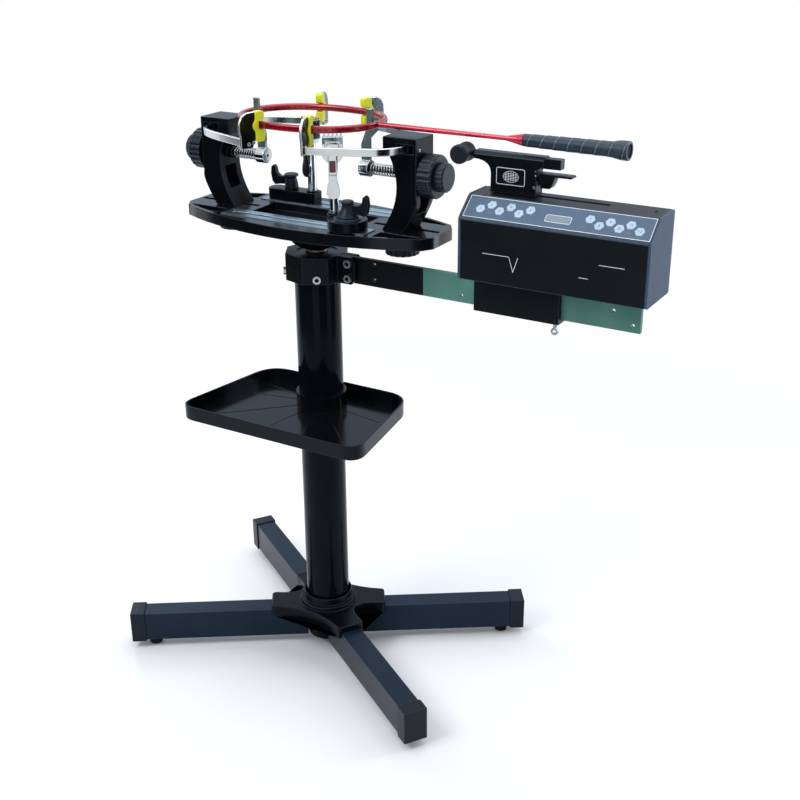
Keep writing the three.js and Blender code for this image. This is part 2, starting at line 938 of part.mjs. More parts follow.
function smallKnob() {
  const body = flutedKnob(
    smallKnobRadius,
    smallKnobFluteCount,
    smallKnobChamfer,
    smallKnobInner,
    smallKnobOuter,
  );
  const bore = rodBore(smallKnobInner - overrun, smallKnobOuter - smallKnobWall);
  return cut(body, bore).translate(0, 0, axisLevel);
}

// Spindle: rod and nose in one turning, with the upright that carries the hoop's end on its lip
function spindle() {
  const rodEnd = smallKnobOuter - smallKnobWall - clearance;
  const turning = turnedX([
    [0, noseFace],
    [noseRadius - clearance, noseFace],
    [noseRadius, noseFace + clearance],
    [noseRadius, noseBack],
    [rodRadius, noseBack],
    [rodRadius, rodEnd],
    [0, rodEnd],
  ]).translate(0, 0, axisLevel);
  const seat = racketZ - hoopTubeHeight / 2 - slidingGap;
  const shoulder = tableTop + supportShoulder;
  const upright = outline([
    [supportInner, axisLevel],
    [supportOuter, axisLevel],
    [supportOuter, seat - supportLipThickness - (supportLip - supportOuter)],
    [supportLip, seat - supportLipThickness],
    [supportLip, seat],
    [supportTipOuter, seat],
    [supportTipOuter, tableTop + supportTop],
    [supportTipInner, tableTop + supportTop],
    [supportTipInner, seat],
    [supportInner, shoulder],
  ]);
  return join(turning, prismY(upright, -supportHalfThickness, supportHalfThickness));
}

// Spring: one unbroken wire whose ends run straight, square to the nose and to the tower's seat
function springPath() {
  const start = noseBack + clearance;
  const end = springSeatFace - clearance;
  const straight = springEndRun;
  const turns = springCurlCount * springStepCount;
  const points = [{ along: start, angle: 0, bend: 0 }];
  for (let i = 0; i <= turns; i += 1) {
    const along = start + straight + ((end - start - 2 * straight) * i) / turns;
    const bend = i === 0 || i === turns ? 1 : 2;
    points.push({ along, angle: (2 * Math.PI * i) / springStepCount, bend });
  }
  points.push({ along: end, angle: 2 * Math.PI * springCurlCount, bend: 0 });
  return points;
}

function springPoint({ along, angle }) {
  return new THREE.Vector3(along, springRadius * Math.cos(angle), springRadius * Math.sin(angle));
}

function springCoil() {
  const path = springPath();
  const centres = path.map(springPoint);
  const positions = [];
  const index = [];
  path.forEach(({ angle, bend }, i) => {
    const outward = new THREE.Vector3(0, Math.cos(angle), Math.sin(angle));
    const before = centres[Math.max(i - 1, 0)];
    const after = centres[Math.min(i + 1, centres.length - 1)];
    const tangent = bend === 0 ? new THREE.Vector3(1, 0, 0) : after.clone().sub(before).normalize();
    const across = tangent.cross(outward).normalize();
    for (let side = 0; side < springSideCount; side += 1) {
      const turn = (2 * Math.PI * side) / springSideCount;
      const point = centres[i]
        .clone()
        .addScaledVector(outward, springWire * Math.cos(turn))
        .addScaledVector(across, springWire * Math.sin(turn));
      positions.push(point.x, point.y, point.z);
    }
  });
  const lastRing = (path.length - 1) * springSideCount;
  for (let ringStart = 0; ringStart < lastRing; ringStart += springSideCount) {
    for (let side = 0; side < springSideCount; side += 1) {
      const next = (side + 1) % springSideCount;
      const [a, b] = [ringStart + side, ringStart + next];
      index.push(a, b, b + springSideCount, a, b + springSideCount, a + springSideCount);
    }
  }
  for (let side = 1; side < springSideCount - 1; side += 1) {
    index.push(0, side + 1, side);
    index.push(lastRing, lastRing + side, lastRing + side + 1);
  }
  const coil = new THREE.BufferGeometry();
  coil.setAttribute("position", new THREE.BufferAttribute(new Float32Array(positions), 3));
  coil.setIndex(index);
  return coil.translate(0, 0, axisLevel);
}

function springSelfGap() {
  const centres = springPath().map(springPoint);
  let least = Infinity;
  centres.forEach((a, i) =>
    centres.slice(i + springStepCount / 2).forEach((b) => {
      least = Math.min(least, a.distanceTo(b) - 2 * springWire);
    }),
  );
  return least;
}

// Side arm: a bar that leaves its holder straight, then bends to its eye on the tower's pin. Arms,
// holders and pads are built for the back of the right tower; those at its front are mirror images.
// Each stands at its own distance along the hoop, and follows the hoop's edge there.
function notchAcross(along) {
  const edgeShare = (place) => (1 - (place / hoopHalfLength) ** hoopExponent) ** (1 / hoopExponent);
  return padNotch + hoopHalfWidth * (edgeShare(along) - edgeShare(holderAlong));
}

function sideArm(along) {
  const path = new THREE.CubicBezierCurve(
    new THREE.Vector2(armPivotAlong, armPivotAcross),
    new THREE.Vector2(armPullAlong[0], armPullAcross[0]),
    new THREE.Vector2(armPullAlong[1], armPullAcross[1]),
    new THREE.Vector2(along + armTipLead, notchAcross(along) + armTipBeyond),
  );
  const low = armBarZ - armBarHeight / 2;
  const high = armBarZ + armBarHeight / 2;
  const bar = prismZ(ribbon(path, armBarThickness, curveStepCount * 2), low, high);
  const eye = turnedZ(rod(armEyeRadius, low, high), smallSegmentCount);
  const bore = turnedZ(rod(armPinRadius + clearance, low - overrun, high + overrun), smallSegmentCount);
  [eye, bore].forEach((round) => round.translate(armPivotAlong, armPivotAcross, 0));
  return cut(join(bar, eye, onHoop(holder(), along)), bore);
}

// Places a shape, drawn in the plane across the machine, square to the hoop where its holder stands
function onHoop(geometry, along) {
  geometry.translate(0, -padNotch, 0);
  geometry.rotateZ(-holderTurnAngle * radians);
  return geometry.translate(along, notchAcross(along), 0);
}

function mirroredAcross(geometry) {
  return geometryOf(solidOf(geometry).mirror([0, 1, 0]));
}

// Holder: a thin plate with a hooked back, whose inner edge stands in the pad's groove
function holder() {
  const low = armBarZ - armBarHeight / 2;
  const high = tableTop + holderTop;
  const edgeShares = [
    [0.2, 0],
    [0.92, 0],
    [0.93, 0.35],
    [1, 0.52],
    [0.97, 0.74],
    [0.82, 0.9],
    [0.55, 0.985],
    [0, 1],
    [0, 0.3],
  ];
  const plate = outline(
    edgeShares.map(([outShare, upShare]) => [
      holderInner + outShare * (holderOuter - holderInner),
      low + upShare * (high - low),
    ]),
  );
  return prismX(plate, -holderThickness / 2, holderThickness / 2);
}

// Pad: an upper and a lower lobe with the hoop's notch between them, a back that bulges behind the
// notch, and a groove for the holder's edge
function pad(along) {
  const low = racketZ - hoopTubeHeight / 2 - notchMargin;
  const high = racketZ + hoopTubeHeight / 2 + notchMargin;
  const bottom = tableTop + padBottom;
  const top = tableTop + padTop;
  const shape = new THREE.Shape();
  shape.moveTo(padNose, bottom + padCorner);
  shape.quadraticCurveTo(padNose, bottom, padNose + padCorner, bottom);
  shape.lineTo(padBack - padCorner, bottom);
  shape.quadraticCurveTo(padBack, bottom, padBack, bottom + padCorner);
  shape.lineTo(padBack, low - padCorner);
  shape.bezierCurveTo(padBack, low, padWaist, low, padWaist, racketZ);
  shape.bezierCurveTo(padWaist, high, padBack, high, padBack, high + padCorner);
  shape.lineTo(padBack, top - padCorner);
  shape.quadraticCurveTo(padBack, top, padBack - padCorner, top);
  shape.lineTo(padNose + padCorner, top);
  shape.quadraticCurveTo(padNose, top, padNose, top - padCorner);
  shape.lineTo(padNose, high + padCorner);
  shape.quadraticCurveTo(padNose, high, padNose + padCorner, high);
  shape.lineTo(padNotch, high);
  shape.lineTo(padNotch, low);
  shape.lineTo(padNose + padCorner, low);
  shape.quadraticCurveTo(padNose, low, padNose, low - padCorner);
  shape.closePath();
  const half = holderThickness / 2 + clearance;
  const groove = box(
    [-half, half],
    [holderInner - clearance, padWaist + overrun],
    [bottom - overrun, top + overrun],
  );
  return onHoop(cut(prismX(shape, -padWidth / 2, padWidth / 2, padStepCount), groove), along);
}

// Tower unit: everything that one tower carries, built for the right end
function addTower(table, side, turn) {
  const unit = new THREE.Group();
  unit.rotation.z = turn;
  table.add(unit);
  part(unit, `tower_${side}`, tower(), "blackPaint");
  part(unit, `tower_lock_knob_${side}`, lockKnob(), "blackPlastic");
  part(unit, `arm_knob_${side}`, bigKnob(), "blackPlastic");
  part(unit, `spindle_knob_${side}`, smallKnob(), "blackPlastic");
  part(unit, `spindle_${side}`, spindle(), "chrome");
  part(unit, `spring_${side}`, springCoil(), "steel");
  const faces = turn === 0 ? { front: -1, rear: 1 } : { front: 1, rear: -1 };
  Object.entries(faces).forEach(([where, face]) => {
    const placed = face > 0 ? (geometry) => geometry : mirroredAcross;
    const frontAlong = side === "right" ? rightFrontAlong : leftFrontAlong;
    const along = where === "front" ? frontAlong : holderAlong;
    part(unit, `side_arm_${side}_${where}`, placed(sideArm(along)), "chrome");
    part(unit, `pad_${side}_${where}`, placed(pad(along)), "yellowPad");
  });
}

// Racket: a rounded oblong hoop, a slim shaft with a cone, and a wrapped grip
function hoopReach(angle, halfLength, halfWidth) {
  const along = Math.abs(Math.cos(angle) / halfLength) ** hoopExponent;
  const across = Math.abs(Math.sin(angle) / halfWidth) ** hoopExponent;
  return (along + across) ** (-1 / hoopExponent);
}

function hoop() {
  const positions = [];
  const index = [];
  for (let step = 0; step < hoopStepCount; step += 1) {
    const angle = (2 * Math.PI * step) / hoopStepCount;
    for (let side = 0; side < hoopSideCount; side += 1) {
      const turn = (2 * Math.PI * (side + 0.5)) / hoopSideCount;
      const inset = (hoopTubeWidth / 2) * (1 - Math.cos(turn) / Math.cos(Math.PI / hoopSideCount));
      const reach = hoopReach(angle, hoopHalfLength - inset, hoopHalfWidth - inset);
      const up = ((hoopTubeHeight / 2) * Math.sin(turn)) / Math.cos(Math.PI / hoopSideCount);
      positions.push(reach * Math.cos(angle), reach * Math.sin(angle), up);
      const nextStep = ((step + 1) % hoopStepCount) * hoopSideCount;
      const nextSide = (side + 1) % hoopSideCount;
      const [a, b] = [step * hoopSideCount + side, step * hoopSideCount + nextSide];
      const [c, d] = [nextStep + nextSide, nextStep + side];
      index.push(a, d, c, a, c, b);
    }
  }
  const geometry = new THREE.BufferGeometry();
  geometry.setAttribute("position", new THREE.BufferAttribute(new Float32Array(positions), 3));
  geometry.setIndex(index);
  return geometry;
}

function racketFrame() {
  const root = hoopHalfLength - hoopTubeWidth / 2;
  const shaft = turnedX(
    [
      [0, root],
      [throatRadius, root],
      [throatRadius, root + throatLength / 2],
      [shaftRadius, root + throatLength],
      [shaftRadius, coneStart],
      [gripStartRadius - clearance, gripStart - clearance],
      [0, gripStart - clearance],
    ],
    smallSegmentCount,
  );
  return join(hoop(), shaft).translate(0, 0, racketZ);
}

function racketGrip() {
  const swell = gripEnd - buttLength;
  return turnedX(
    [
      [0, gripStart],
      [gripStartRadius, gripStart],
      [gripRadius, swell - buttLength],
      [buttRadius, swell],
      [buttRadius, gripEnd - clearance],
      [buttRadius - clearance, gripEnd],
      [0, gripEnd],
    ],
    mediumSegmentCount / 2,
  ).translate(0, 0, racketZ);
}

// String clamp bases, with a tongue in the rail's groove
function tongue(from, to, across) {
  const half = railGrooveWidth / 2 - baseTongueGap;
  return box([from, to], [across - half, across + half], [railTop - baseTongueDepth, baseBottom + overrun]);
}

function postBore() {
  const reach = clampPostRadius + clearance;
  return turnedZ(rod(reach, baseBottom + overrun, baseTop + overrun), smallSegmentCount);
}

function rearBase() {
  const corner = rearBaseHalf;
  const body = roundedOutline(
    [
      [rearBaseLeft, railMiddle - rearBaseHalf],
      [rearBaseRight, railMiddle - rearBaseHalf],
      [rearBaseRight, railMiddle + rearBaseHalf],
      [rearBaseLeft, railMiddle + rearBaseHalf],
    ],
    [corner, corner / 2, corner / 2, corner],
  );
  const hub = turnedZ(rod(rearHubRadius, baseBottom, baseTop), mediumSegmentCount);
  const block = join(
    prismZ(body, baseBottom, baseTop),
    hub.translate(rearKnobAlong, railMiddle, 0),
    tongue(rearBaseLeft + corner, rearBaseRight - corner, railMiddle),
  );
  return cut(block, postBore().translate(rearPostAlong, railMiddle, 0));
}

function frontBase() {
  const puck = turnedZ(rod(frontBaseRadius, baseBottom, baseTop - washerThickness), fineSegmentCount);
  const washer = turnedZ(rod(washerRadius, baseBottom, baseTop), mediumSegmentCount);
  const boss = turnedZ(rod(frontPostBoss, baseBottom, baseTop), mediumSegmentCount);
  const half = frontBaseRadius / 2;
  const block = join(
    puck.translate(frontBaseAlong, -railMiddle, 0),
    washer.translate(frontBaseAlong, -railMiddle, 0),
    boss.translate(frontPostAlong, -frontPostAcross, 0),
    tongue(frontBaseAlong - half, frontBaseAlong + half, -railMiddle),
  );
  return cut(block, postBore().translate(frontPostAlong, -frontPostAcross, 0));
}

// Clamp knob: a cap on a flared foot, with one wing that curls up like a small paddle
function clampKnob(capRadius, footRadius) {
  const bottom = baseTop + clearance;
  const top = bottom + clampKnobHeight;
  const neck = top - clampKnobCap;
  const stem = turnedZ([
    [0, bottom],
    [footRadius, bottom],
    [footRadius, bottom + overrun],
    [clampKnobShoulder, (bottom + neck) / 2],
    [clampKnobWaist, neck - overrun],
    [clampKnobWaist, neck],
    [capRadius, neck + overrun],
    [capRadius, top - overrun],
    [capRadius - overrun, top],
    [0, top],
  ]);
  const wingShares = [
    [0.1, 0.1],
    [0.55, 0.06],
    [0.8, 0],
    [0.94, 0.18],
    [1, 0.55],
    [0.97, 0.88],
    [0.86, 1],
    [0.74, 0.86],
    [0.7, 0.6],
    [0.52, 0.46],
    [0.1, 0.5],
  ];
  const wing = outline(
    wingShares.map(([outShare, upShare]) => [
      outShare * wingReach,
      bottom + wingRoot + upShare * (clampKnobHeight - wingRoot + wingTip / 2),
    ]),
  );
  return join(stem, prismY(wing, -wingThickness / 2, wingThickness / 2));
}

// Clamp head: post, open yoke and two rows of teeth with the string's gap between them
function clampHead() {
  const low = tableTop + yokeBottom;
  const high = tableTop + yokeTop;
  const postFoot = baseBottom + overrun + clearance;
  const post = turnedZ(rod(clampPostRadius, postFoot, low + overrun), smallSegmentCount);
  const taper = yokeHalfWidth - yokeFootInset;
  const frame = outline([
    [-taper, low],
    [taper, low],
    [yokeHalfWidth, low + yokeCornerRise],
    [yokeHalfWidth, high],
    [-yokeHalfWidth, high],
    [-yokeHalfWidth, low + yokeCornerRise],
  ]);
  const inside = yokeHalfWidth - yokeWall;
  const opening = outline([
    [-inside, low + yokeSill],
    [inside, low + yokeSill],
    [inside, high - yokeBar],
    [-inside, high - yokeBar],
  ]);
  const half = yokeDepth / 2;
  const body = cut(prismY(frame, -half, half), prismY(opening, -half - overrun, 0));
  const pitch = (2 * yokeHalfWidth) / toothCount;
  const teeth = Array.from({ length: toothCount }, (_, i) => {
    const left = i * pitch - yokeHalfWidth;
    const toothShares = [[0.1, 0], [0.9, 0], [0.65, 1], [0.35, 1]];
    const profile = toothShares.map(([alongShare, upShare]) => [
      left + alongShare * pitch,
      high - overrun + upShare * (toothHeight + overrun),
    ]);
    return prismY(outline(profile), -half, half);
  });
  const split = box(
    [-yokeHalfWidth - overrun, yokeHalfWidth + overrun],
    [-stringGap / 2, stringGap / 2],
    [high - yokeBar / 2, high + toothHeight + overrun],
  );
  const sliderTop = high - yokeBar - yokeWall;
  const slider = outline(
    mirrored([
      [inside - overrun, low + yokeBar],
      [inside - overrun, sliderTop - overrun],
      [inside - yokeWall, sliderTop],
    ]),
  );
  const core = prismY(slider, leverInset / 2 - half, 0);
  const leverSlot = box(
    [-leverWidth / 2 - leverGap, leverWidth / 2 + leverGap],
    [-half - overrun, leverAxisAcross + leverEyeRadius + leverGap],
    [low - overrun, tableTop + leverTop + leverEyeRadius + leverGap],
  );
  const pin = turnedX(
    rod(leverPinRadius, -leverWidth / 2 - overrun, leverWidth / 2 + overrun),
    smallSegmentCount,
  ).translate(0, leverAxisAcross, tableTop + leverTop);
  return join(cut(join(body, core, post, ...teeth), split, leverSlot), pin);
}

// Clamp lever: a flat handle with a window and a teardrop paddle, hung from the head's pin
function clampLever() {
  const top = tableTop + leverTop;
  const bottom = tableTop + leverBottom;
  const half = leverWidth / 2;
  const shape = new THREE.Shape();
  shape.moveTo(-half, top);
  shape.lineTo(-half, bottom + paddleRise);
  shape.quadraticCurveTo(-paddlePull, bottom, 0, bottom);
  shape.quadraticCurveTo(paddlePull, bottom, half, bottom + paddleRise);
  shape.lineTo(half, top);
  shape.closePath();
  const back = -clampPostRadius - leverGap;
  const blade = prismY(shape, back - leverThickness, back);
  const window = box(
    [-leverWindowHalf, leverWindowHalf],
    [back - leverThickness - overrun, back + overrun],
    [tableTop + leverWindowLow, tableTop + leverWindowHigh],
  );
  const eye = turnedX(rod(leverEyeRadius, -half, half), smallSegmentCount);
  const bore = turnedX(rod(leverPinRadius + clearance, -leverWidth, leverWidth), smallSegmentCount);
  return cut(
    join(blade, eye.translate(0, leverAxisAcross, top)),
    window,
    bore.translate(0, leverAxisAcross, top),
  );
}

// String clamp: the head and its lever stand turned about their post, as they are left after use
function addStringClamp(table, where, base, knobGeometry, places) {
  part(table, `string_clamp_base_${where}`, base, "blackPaint");
  const knob = part(table, `string_clamp_knob_${where}`, knobGeometry, "blackPlastic");
  knob.position.set(...places.knob, 0);
  knob.rotation.z = places.knobTurn;
  const upper = new THREE.Group();
  upper.position.set(...places.post, 0);
  upper.rotation.z = places.headTurn;
  table.add(upper);
  part(upper, `string_clamp_head_${where}`, clampHead(), "chrome");
  part(upper, `string_clamp_lever_${where}`, clampLever(), "chrome");
}

// Tension head: a bent housing closed by two end caps
function headOutline(inset) {
  return [
    [inset - headFront, headBottom + inset],
    [headBack - inset, headBottom + inset],
    [headBack - inset, headTop - inset],
    [-headBevelBack + inset / 2, headTop - inset],
    [inset - headFront, headBottom + headFrontRise - inset / 2],
  ];
}

function headHousing() {
  const left = headLeft + endCapThickness + clearance;
  const right = headRight - endCapThickness - clearance;
  const shell = cut(
    prismX(outline(headOutline(0)), left, right),
    prismX(outline(headOutline(headWall)), left - overrun, right + overrun),
  );
  const slot = box(
    [headSlotLeft, headSlotRight],
    [headSlotMiddle - headSlotWidth / 2, headSlotMiddle + headSlotWidth / 2],
    [headTop - headWall - overrun, headTop + overrun],
  );
  return cut(shell, slot);
}

function endCap(inner, outer) {
  const corners = headOutline(-capOverhang);
  return prismX(roundedOutline(corners, corners.map(() => endCapRound)), inner, outer, curveStepCount / 2);
}

// Bracket: hangs under the head and slides on the arm
function headBracket() {
  const bottom = armBottom - slidingGap - bracketFloor;
  const block = box(
    [bracketLeft, bracketRight],
    [-bracketHalf, bracketHalf],
    [bottom, headBottom - clearance],
  );
  const slot = box(
    [bracketLeft - overrun, bracketRight + overrun],
    [-armThickness / 2 - slidingGap, armThickness / 2 + slidingGap],
    [armBottom - slidingGap, armTop + slidingGap],
  );
  const thread = turnedZ(rod(thumbRadius + clearance, bottom - overrun, armBottom), smallSegmentCount);
  return cut(block, slot, thread.translate(thumbAlong, 0, 0));
}

function thumbScrew() {
  const top = armBottom - slidingGap - clearance;
  const eyeCentre = top - thumbLength;
  const screw = turnedZ(rod(thumbRadius, eyeCentre, top), smallSegmentCount);
  const eyeHalf = thumbEyeThickness / 2;
  const eye = turnedY(rod(thumbEyeRadius, -eyeHalf, eyeHalf), smallSegmentCount);
  const hole = turnedY(rod(thumbEyeHole, -thumbEyeThickness, thumbEyeThickness), smallSegmentCount);
  const body = join(screw, eye.translate(0, 0, eyeCentre));
  return cut(body, hole.translate(0, 0, eyeCentre)).translate(thumbAlong, 0, 0);
}

// Gripper: block, arm and upper jaw in one casting, on a neck that runs in the head's slot
function gripperBody() {
  const bottom = headTop + gripperLift;
  const armLow = gripperTop - gripperArmHeight;
  const front = gripperMiddle - gripperHalf;
  const back = gripperMiddle + gripperHalf;
  const profile = new THREE.Shape();
  profile.moveTo(gripperLeft, bottom);
  profile.lineTo(gripperRight, bottom);
  profile.lineTo(gripperRight, gripperShoulder);
  profile.lineTo(gripperNose, gripperShoulder + gripperFacet);
  profile.lineTo(gripperNose, gripperTop);
  profile.lineTo(gripperArmLeft, gripperTop);
  profile.lineTo(gripperArmLeft, armLow);
  profile.quadraticCurveTo(gripperLeft, armLow, gripperLeft, armLow - gripperFillet);
  profile.closePath();
  const block = prismY(profile, front, back);
  const facets = [1, -1].map((face) => {
    const edge = (inward, down) => [gripperMiddle + face * (gripperHalf - inward), gripperTop - down];
    const corner = [edge(-overrun, gripperFacet), edge(-overrun, -overrun), edge(gripperFacet, -overrun)];
    const section = outline(face > 0 ? corner : corner.reverse());
    return prismX(section, gripperArmLeft - overrun, gripperNose + overrun);
  });
  const lug = box(
    [diabloAlong, gripperArmLeft + overrun],
    [diabloBack + clearance, back - gripperFacet / 2],
    [armLow, gripperTop - gripperFacet / 2],
  );
  const lugRadius = (gripperArmHeight - gripperFacet / 2) / 2;
  const lugBack = back - gripperFacet / 2;
  const lugEnd = turnedY(rod(lugRadius, diabloBack + clearance, lugBack), mediumSegmentCount);
  const jaw = box(
    [gripperRight - overrun, jawRight],
    [gripperMiddle - jawHalf, gripperMiddle + jawHalf],
    [jawBottom, jawTop],
  );
  const carriageTop = headTop - headWall - slidingGap;
  const neck = box(
    [gripperLeft, gripperRight],
    [headSlotMiddle - neckHalf, headSlotMiddle + neckHalf],
    [carriageTop - overrun, bottom + overrun],
  );
  const carriage = box(
    [gripperLeft, gripperRight],
    [headSlotMiddle - carriageHalf, headSlotMiddle + carriageHalf],
    [carriageTop - carriageThickness, carriageTop],
  );
  const pin = turnedY(rod(fingerPinRadius, front + overrun, back - overrun), smallSegmentCount);
  const tongueSlot = box(
    [fingerAxis - fingerEyeRadius - slidingGap, gripperRight + overrun],
    [gripperMiddle - fingerTongue / 2 - slidingGap, gripperMiddle + fingerTongue / 2 + slidingGap],
    [fingerLevel - fingerSlotHalf, fingerLevel + fingerSlotHalf],
  );
  lugEnd.translate(diabloAlong, 0, (armLow + gripperTop - gripperFacet / 2) / 2);
  const body = cut(join(cut(block, ...facets), lug, lugEnd, jaw), tongueSlot);
  return join(body, neck, carriage, pin.translate(fingerAxis, 0, fingerLevel));
}

// Jaw lever: a thumb lever whose tongue turns on a pin in the gripper and closes against the upper jaw
function jawLever() {
  const profile = new THREE.Shape();
  profile.moveTo(gripperRight + overrun, fingerTop);
  profile.lineTo(gripperRight + fingerLean, fingerBottom);
  profile.lineTo(fingerBodyRight - fingerLean, fingerBottom);
  const tipLow = fingerTop - fingerTipThickness;
  const tipStart = fingerTip - fingerTipThickness;
  profile.quadraticCurveTo(fingerBodyRight, fingerBottom, fingerBodyRight + fingerLean, tipLow);
  profile.lineTo(tipStart, tipLow);
  profile.quadraticCurveTo(fingerTip, fingerTop - fingerTipThickness / 2, tipStart, fingerTop);
  profile.closePath();
  const body = prismY(profile, gripperMiddle - fingerHalf, gripperMiddle + fingerHalf);
  const front = gripperMiddle - fingerTongue / 2;
  const back = gripperMiddle + fingerTongue / 2;
  const eye = turnedY(rod(fingerEyeRadius, front, back), smallSegmentCount);
  eye.translate(fingerAxis, 0, fingerLevel);
  const tongue = box(
    [fingerAxis, gripperRight + tongueReach],
    [front, back],
    [fingerLevel - fingerEyeRadius / 2, fingerLevel + fingerEyeRadius / 2],
  );
  const boreRadius = fingerPinRadius + clearance;
  const bore = turnedY(rod(boreRadius, front - overrun, back + overrun), smallSegmentCount);
  return cut(join(body, eye, tongue), bore.translate(fingerAxis, 0, fingerLevel));
}

// Diablo: the waisted drum that the string is led round
function diablo() {
  const middle = (diabloBack - diabloFront) / 2;
  const half = (diabloBack + diabloFront) / 2;
  const profile = [
    [0, middle - half],
    [diabloWaist, middle - half],
    [diabloRadius, middle - half + overrun],
    [diabloRadius, middle - diabloGroove],
    [diabloWaist, middle - diabloGroove / 2],
    [diabloWaist, middle + diabloGroove / 2],
    [diabloRadius, middle + diabloGroove],
    [diabloRadius, middle + half - overrun],
    [diabloWaist, middle + half],
    [0, middle + half],
  ];
  return turnedY(profile, mediumSegmentCount).translate(diabloAlong, 0, diabloLevel);
}

// Assembly
const machine = new THREE.Group();
const whole = new THREE.Group();
whole.add(machine);

addLegs(machine);
part(machine, "base_star", baseStar(), "blackPaint");
part(machine, "post", postTube(), "blackPaint");
part(machine, "mast_clamp", mastClamp(), "blackPaint");
part(machine, "arm_bar", armBar(), "greenFilm");
part(machine, "pivot_bush", pivotBush(), "brass");
part(machine, "tool_tray", toolTray(), "blackPlastic");

const turntable = new THREE.Group();
machine.add(turntable);
part(turntable, "turntable_plate", turntablePlate(), "blackPaint");
part(turntable, "rail_rear", rail(), "steel");
part(turntable, "rail_front", rail().rotateZ(Math.PI), "steel");
addTower(turntable, "right", 0);
addTower(turntable, "left", Math.PI);
part(turntable, "racket_frame", racketFrame(), "redLacquer");
part(turntable, "racket_grip", racketGrip(), "gripTape");
addStringClamp(turntable, "rear", rearBase(), clampKnob(rearKnobCap, rearKnobFoot), {
  knob: [rearKnobAlong, railMiddle],
  knobTurn: Math.PI,
  post: [rearPostAlong, railMiddle],
  headTurn: rearHeadAngle * radians,
});
addStringClamp(turntable, "front", frontBase(), clampKnob(frontKnobCap, frontKnobFoot), {
  knob: [frontBaseAlong, -railMiddle],
  knobTurn: 0,
  post: [frontPostAlong, -frontPostAcross],
  headTurn: frontHeadAngle * radians,
});

const head = new THREE.Group();
machine.add(head);
part(head, "head_housing", headHousing(), "blackPaint");
part(head, "head_cap_left", endCap(headLeft, headLeft + endCapThickness), "greyPanel");
part(head, "head_cap_right", endCap(headRight - endCapThickness, headRight), "greyPanel");
part(head, "head_bracket", headBracket(), "blackPaint");
part(head, "thumb_screw", thumbScrew(), "steel");
part(head, "gripper_body", gripperBody(), "blackPaint");
part(head, "jaw_lever", jawLever(), "blackPaint");
part(head, "diablo", diablo(), "blackPlastic");

console.log(`spring: least gap to itself ${springSelfGap().toFixed(2)} mm`);

const bounds = new THREE.Box3().setFromObject(whole);
const centre = bounds.getCenter(new THREE.Vector3());
machine.position.set(-centre.x, -centre.y, -bounds.min.z);

export default whole;
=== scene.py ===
import json
import math
from contextlib import contextmanager

import bmesh
import bpy
from mathutils import Matrix, Vector


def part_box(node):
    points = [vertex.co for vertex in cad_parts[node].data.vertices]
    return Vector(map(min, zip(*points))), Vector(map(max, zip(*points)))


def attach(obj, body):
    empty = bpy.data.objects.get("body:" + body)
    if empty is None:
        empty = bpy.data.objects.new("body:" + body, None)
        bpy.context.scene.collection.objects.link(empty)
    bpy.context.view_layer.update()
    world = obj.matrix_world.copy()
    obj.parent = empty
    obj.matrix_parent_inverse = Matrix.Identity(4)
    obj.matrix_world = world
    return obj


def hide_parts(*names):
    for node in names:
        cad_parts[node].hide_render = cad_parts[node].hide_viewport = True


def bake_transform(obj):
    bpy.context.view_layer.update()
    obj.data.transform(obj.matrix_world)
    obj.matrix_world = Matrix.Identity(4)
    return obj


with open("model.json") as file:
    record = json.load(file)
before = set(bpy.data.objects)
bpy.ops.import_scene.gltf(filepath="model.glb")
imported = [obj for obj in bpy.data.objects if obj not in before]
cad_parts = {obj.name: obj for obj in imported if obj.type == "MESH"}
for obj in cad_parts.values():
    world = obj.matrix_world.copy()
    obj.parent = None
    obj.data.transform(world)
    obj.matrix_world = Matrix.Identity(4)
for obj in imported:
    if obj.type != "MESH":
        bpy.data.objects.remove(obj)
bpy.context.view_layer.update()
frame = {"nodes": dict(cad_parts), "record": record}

mm = 0.001
edgeAngle = 38        # degrees; sharper edges are rounded, and the shading breaks at them
bodyOf = {node: body for body, nodes in frame["record"]["behaviour"]["bodies"].items() for node in nodes}
sideSign = {"right": 1, "left": -1}
rowSign = {"front": -1, "rear": 1}


# Small tools for modelling

def select(*pieces):
    bpy.ops.object.select_all(action="DESELECT")
    for piece in pieces:
        piece.select_set(True)
    bpy.context.view_layer.objects.active = pieces[0]


@contextmanager
def editing(piece, pick="FACE"):
    select(piece)
    bpy.ops.object.mode_set(mode="EDIT")
    bpy.ops.mesh.select_mode(type=pick)
    yield
    bpy.ops.object.mode_set(mode="OBJECT")


def pickOnly(kind, test):
    mesh = bpy.context.object.data
    bpy.ops.mesh.select_all(action="DESELECT")
    shape = bmesh.from_edit_mesh(mesh)
    for element in getattr(shape, kind):
        element.select_set(bool(test(element)))
    bmesh.update_edit_mesh(mesh)


def pickFaces(test):
    pickOnly("faces", test)


def pickEdges(test):
    pickOnly("edges", test)


def finishWith(piece, kind, **settings):
    select(piece)
    modifier = piece.modifiers.new(kind.title(), kind)
    for name, value in settings.items():
        setattr(modifier, name, value)
    bpy.ops.object.modifier_apply(modifier=modifier.name)


def settle(piece, place=None):
    if place is not None:
        piece.matrix_world = place @ piece.matrix_world
    select(piece)
    bpy.ops.object.transform_apply(location=True, rotation=True, scale=True)


def named(name):
    piece = bpy.context.object
    piece.name = name
    piece.data.name = name
    return piece


def linked(name, data):
    piece = bpy.data.objects.new(name, data)
    bpy.context.collection.objects.link(piece)
    return piece


def copyOf(piece, name, place=None):
    twin = linked(name, piece.data.copy())
    if place is not None:
        twin.data.transform(place)
    return twin


def meshFrom(name, curve):
    select(linked(name, curve))
    bpy.ops.object.convert(target="MESH")
    return named(name)


def joined(name, pieces):
    select(*pieces)
    if len(pieces) > 1:
        bpy.ops.object.join()
    return named(name)


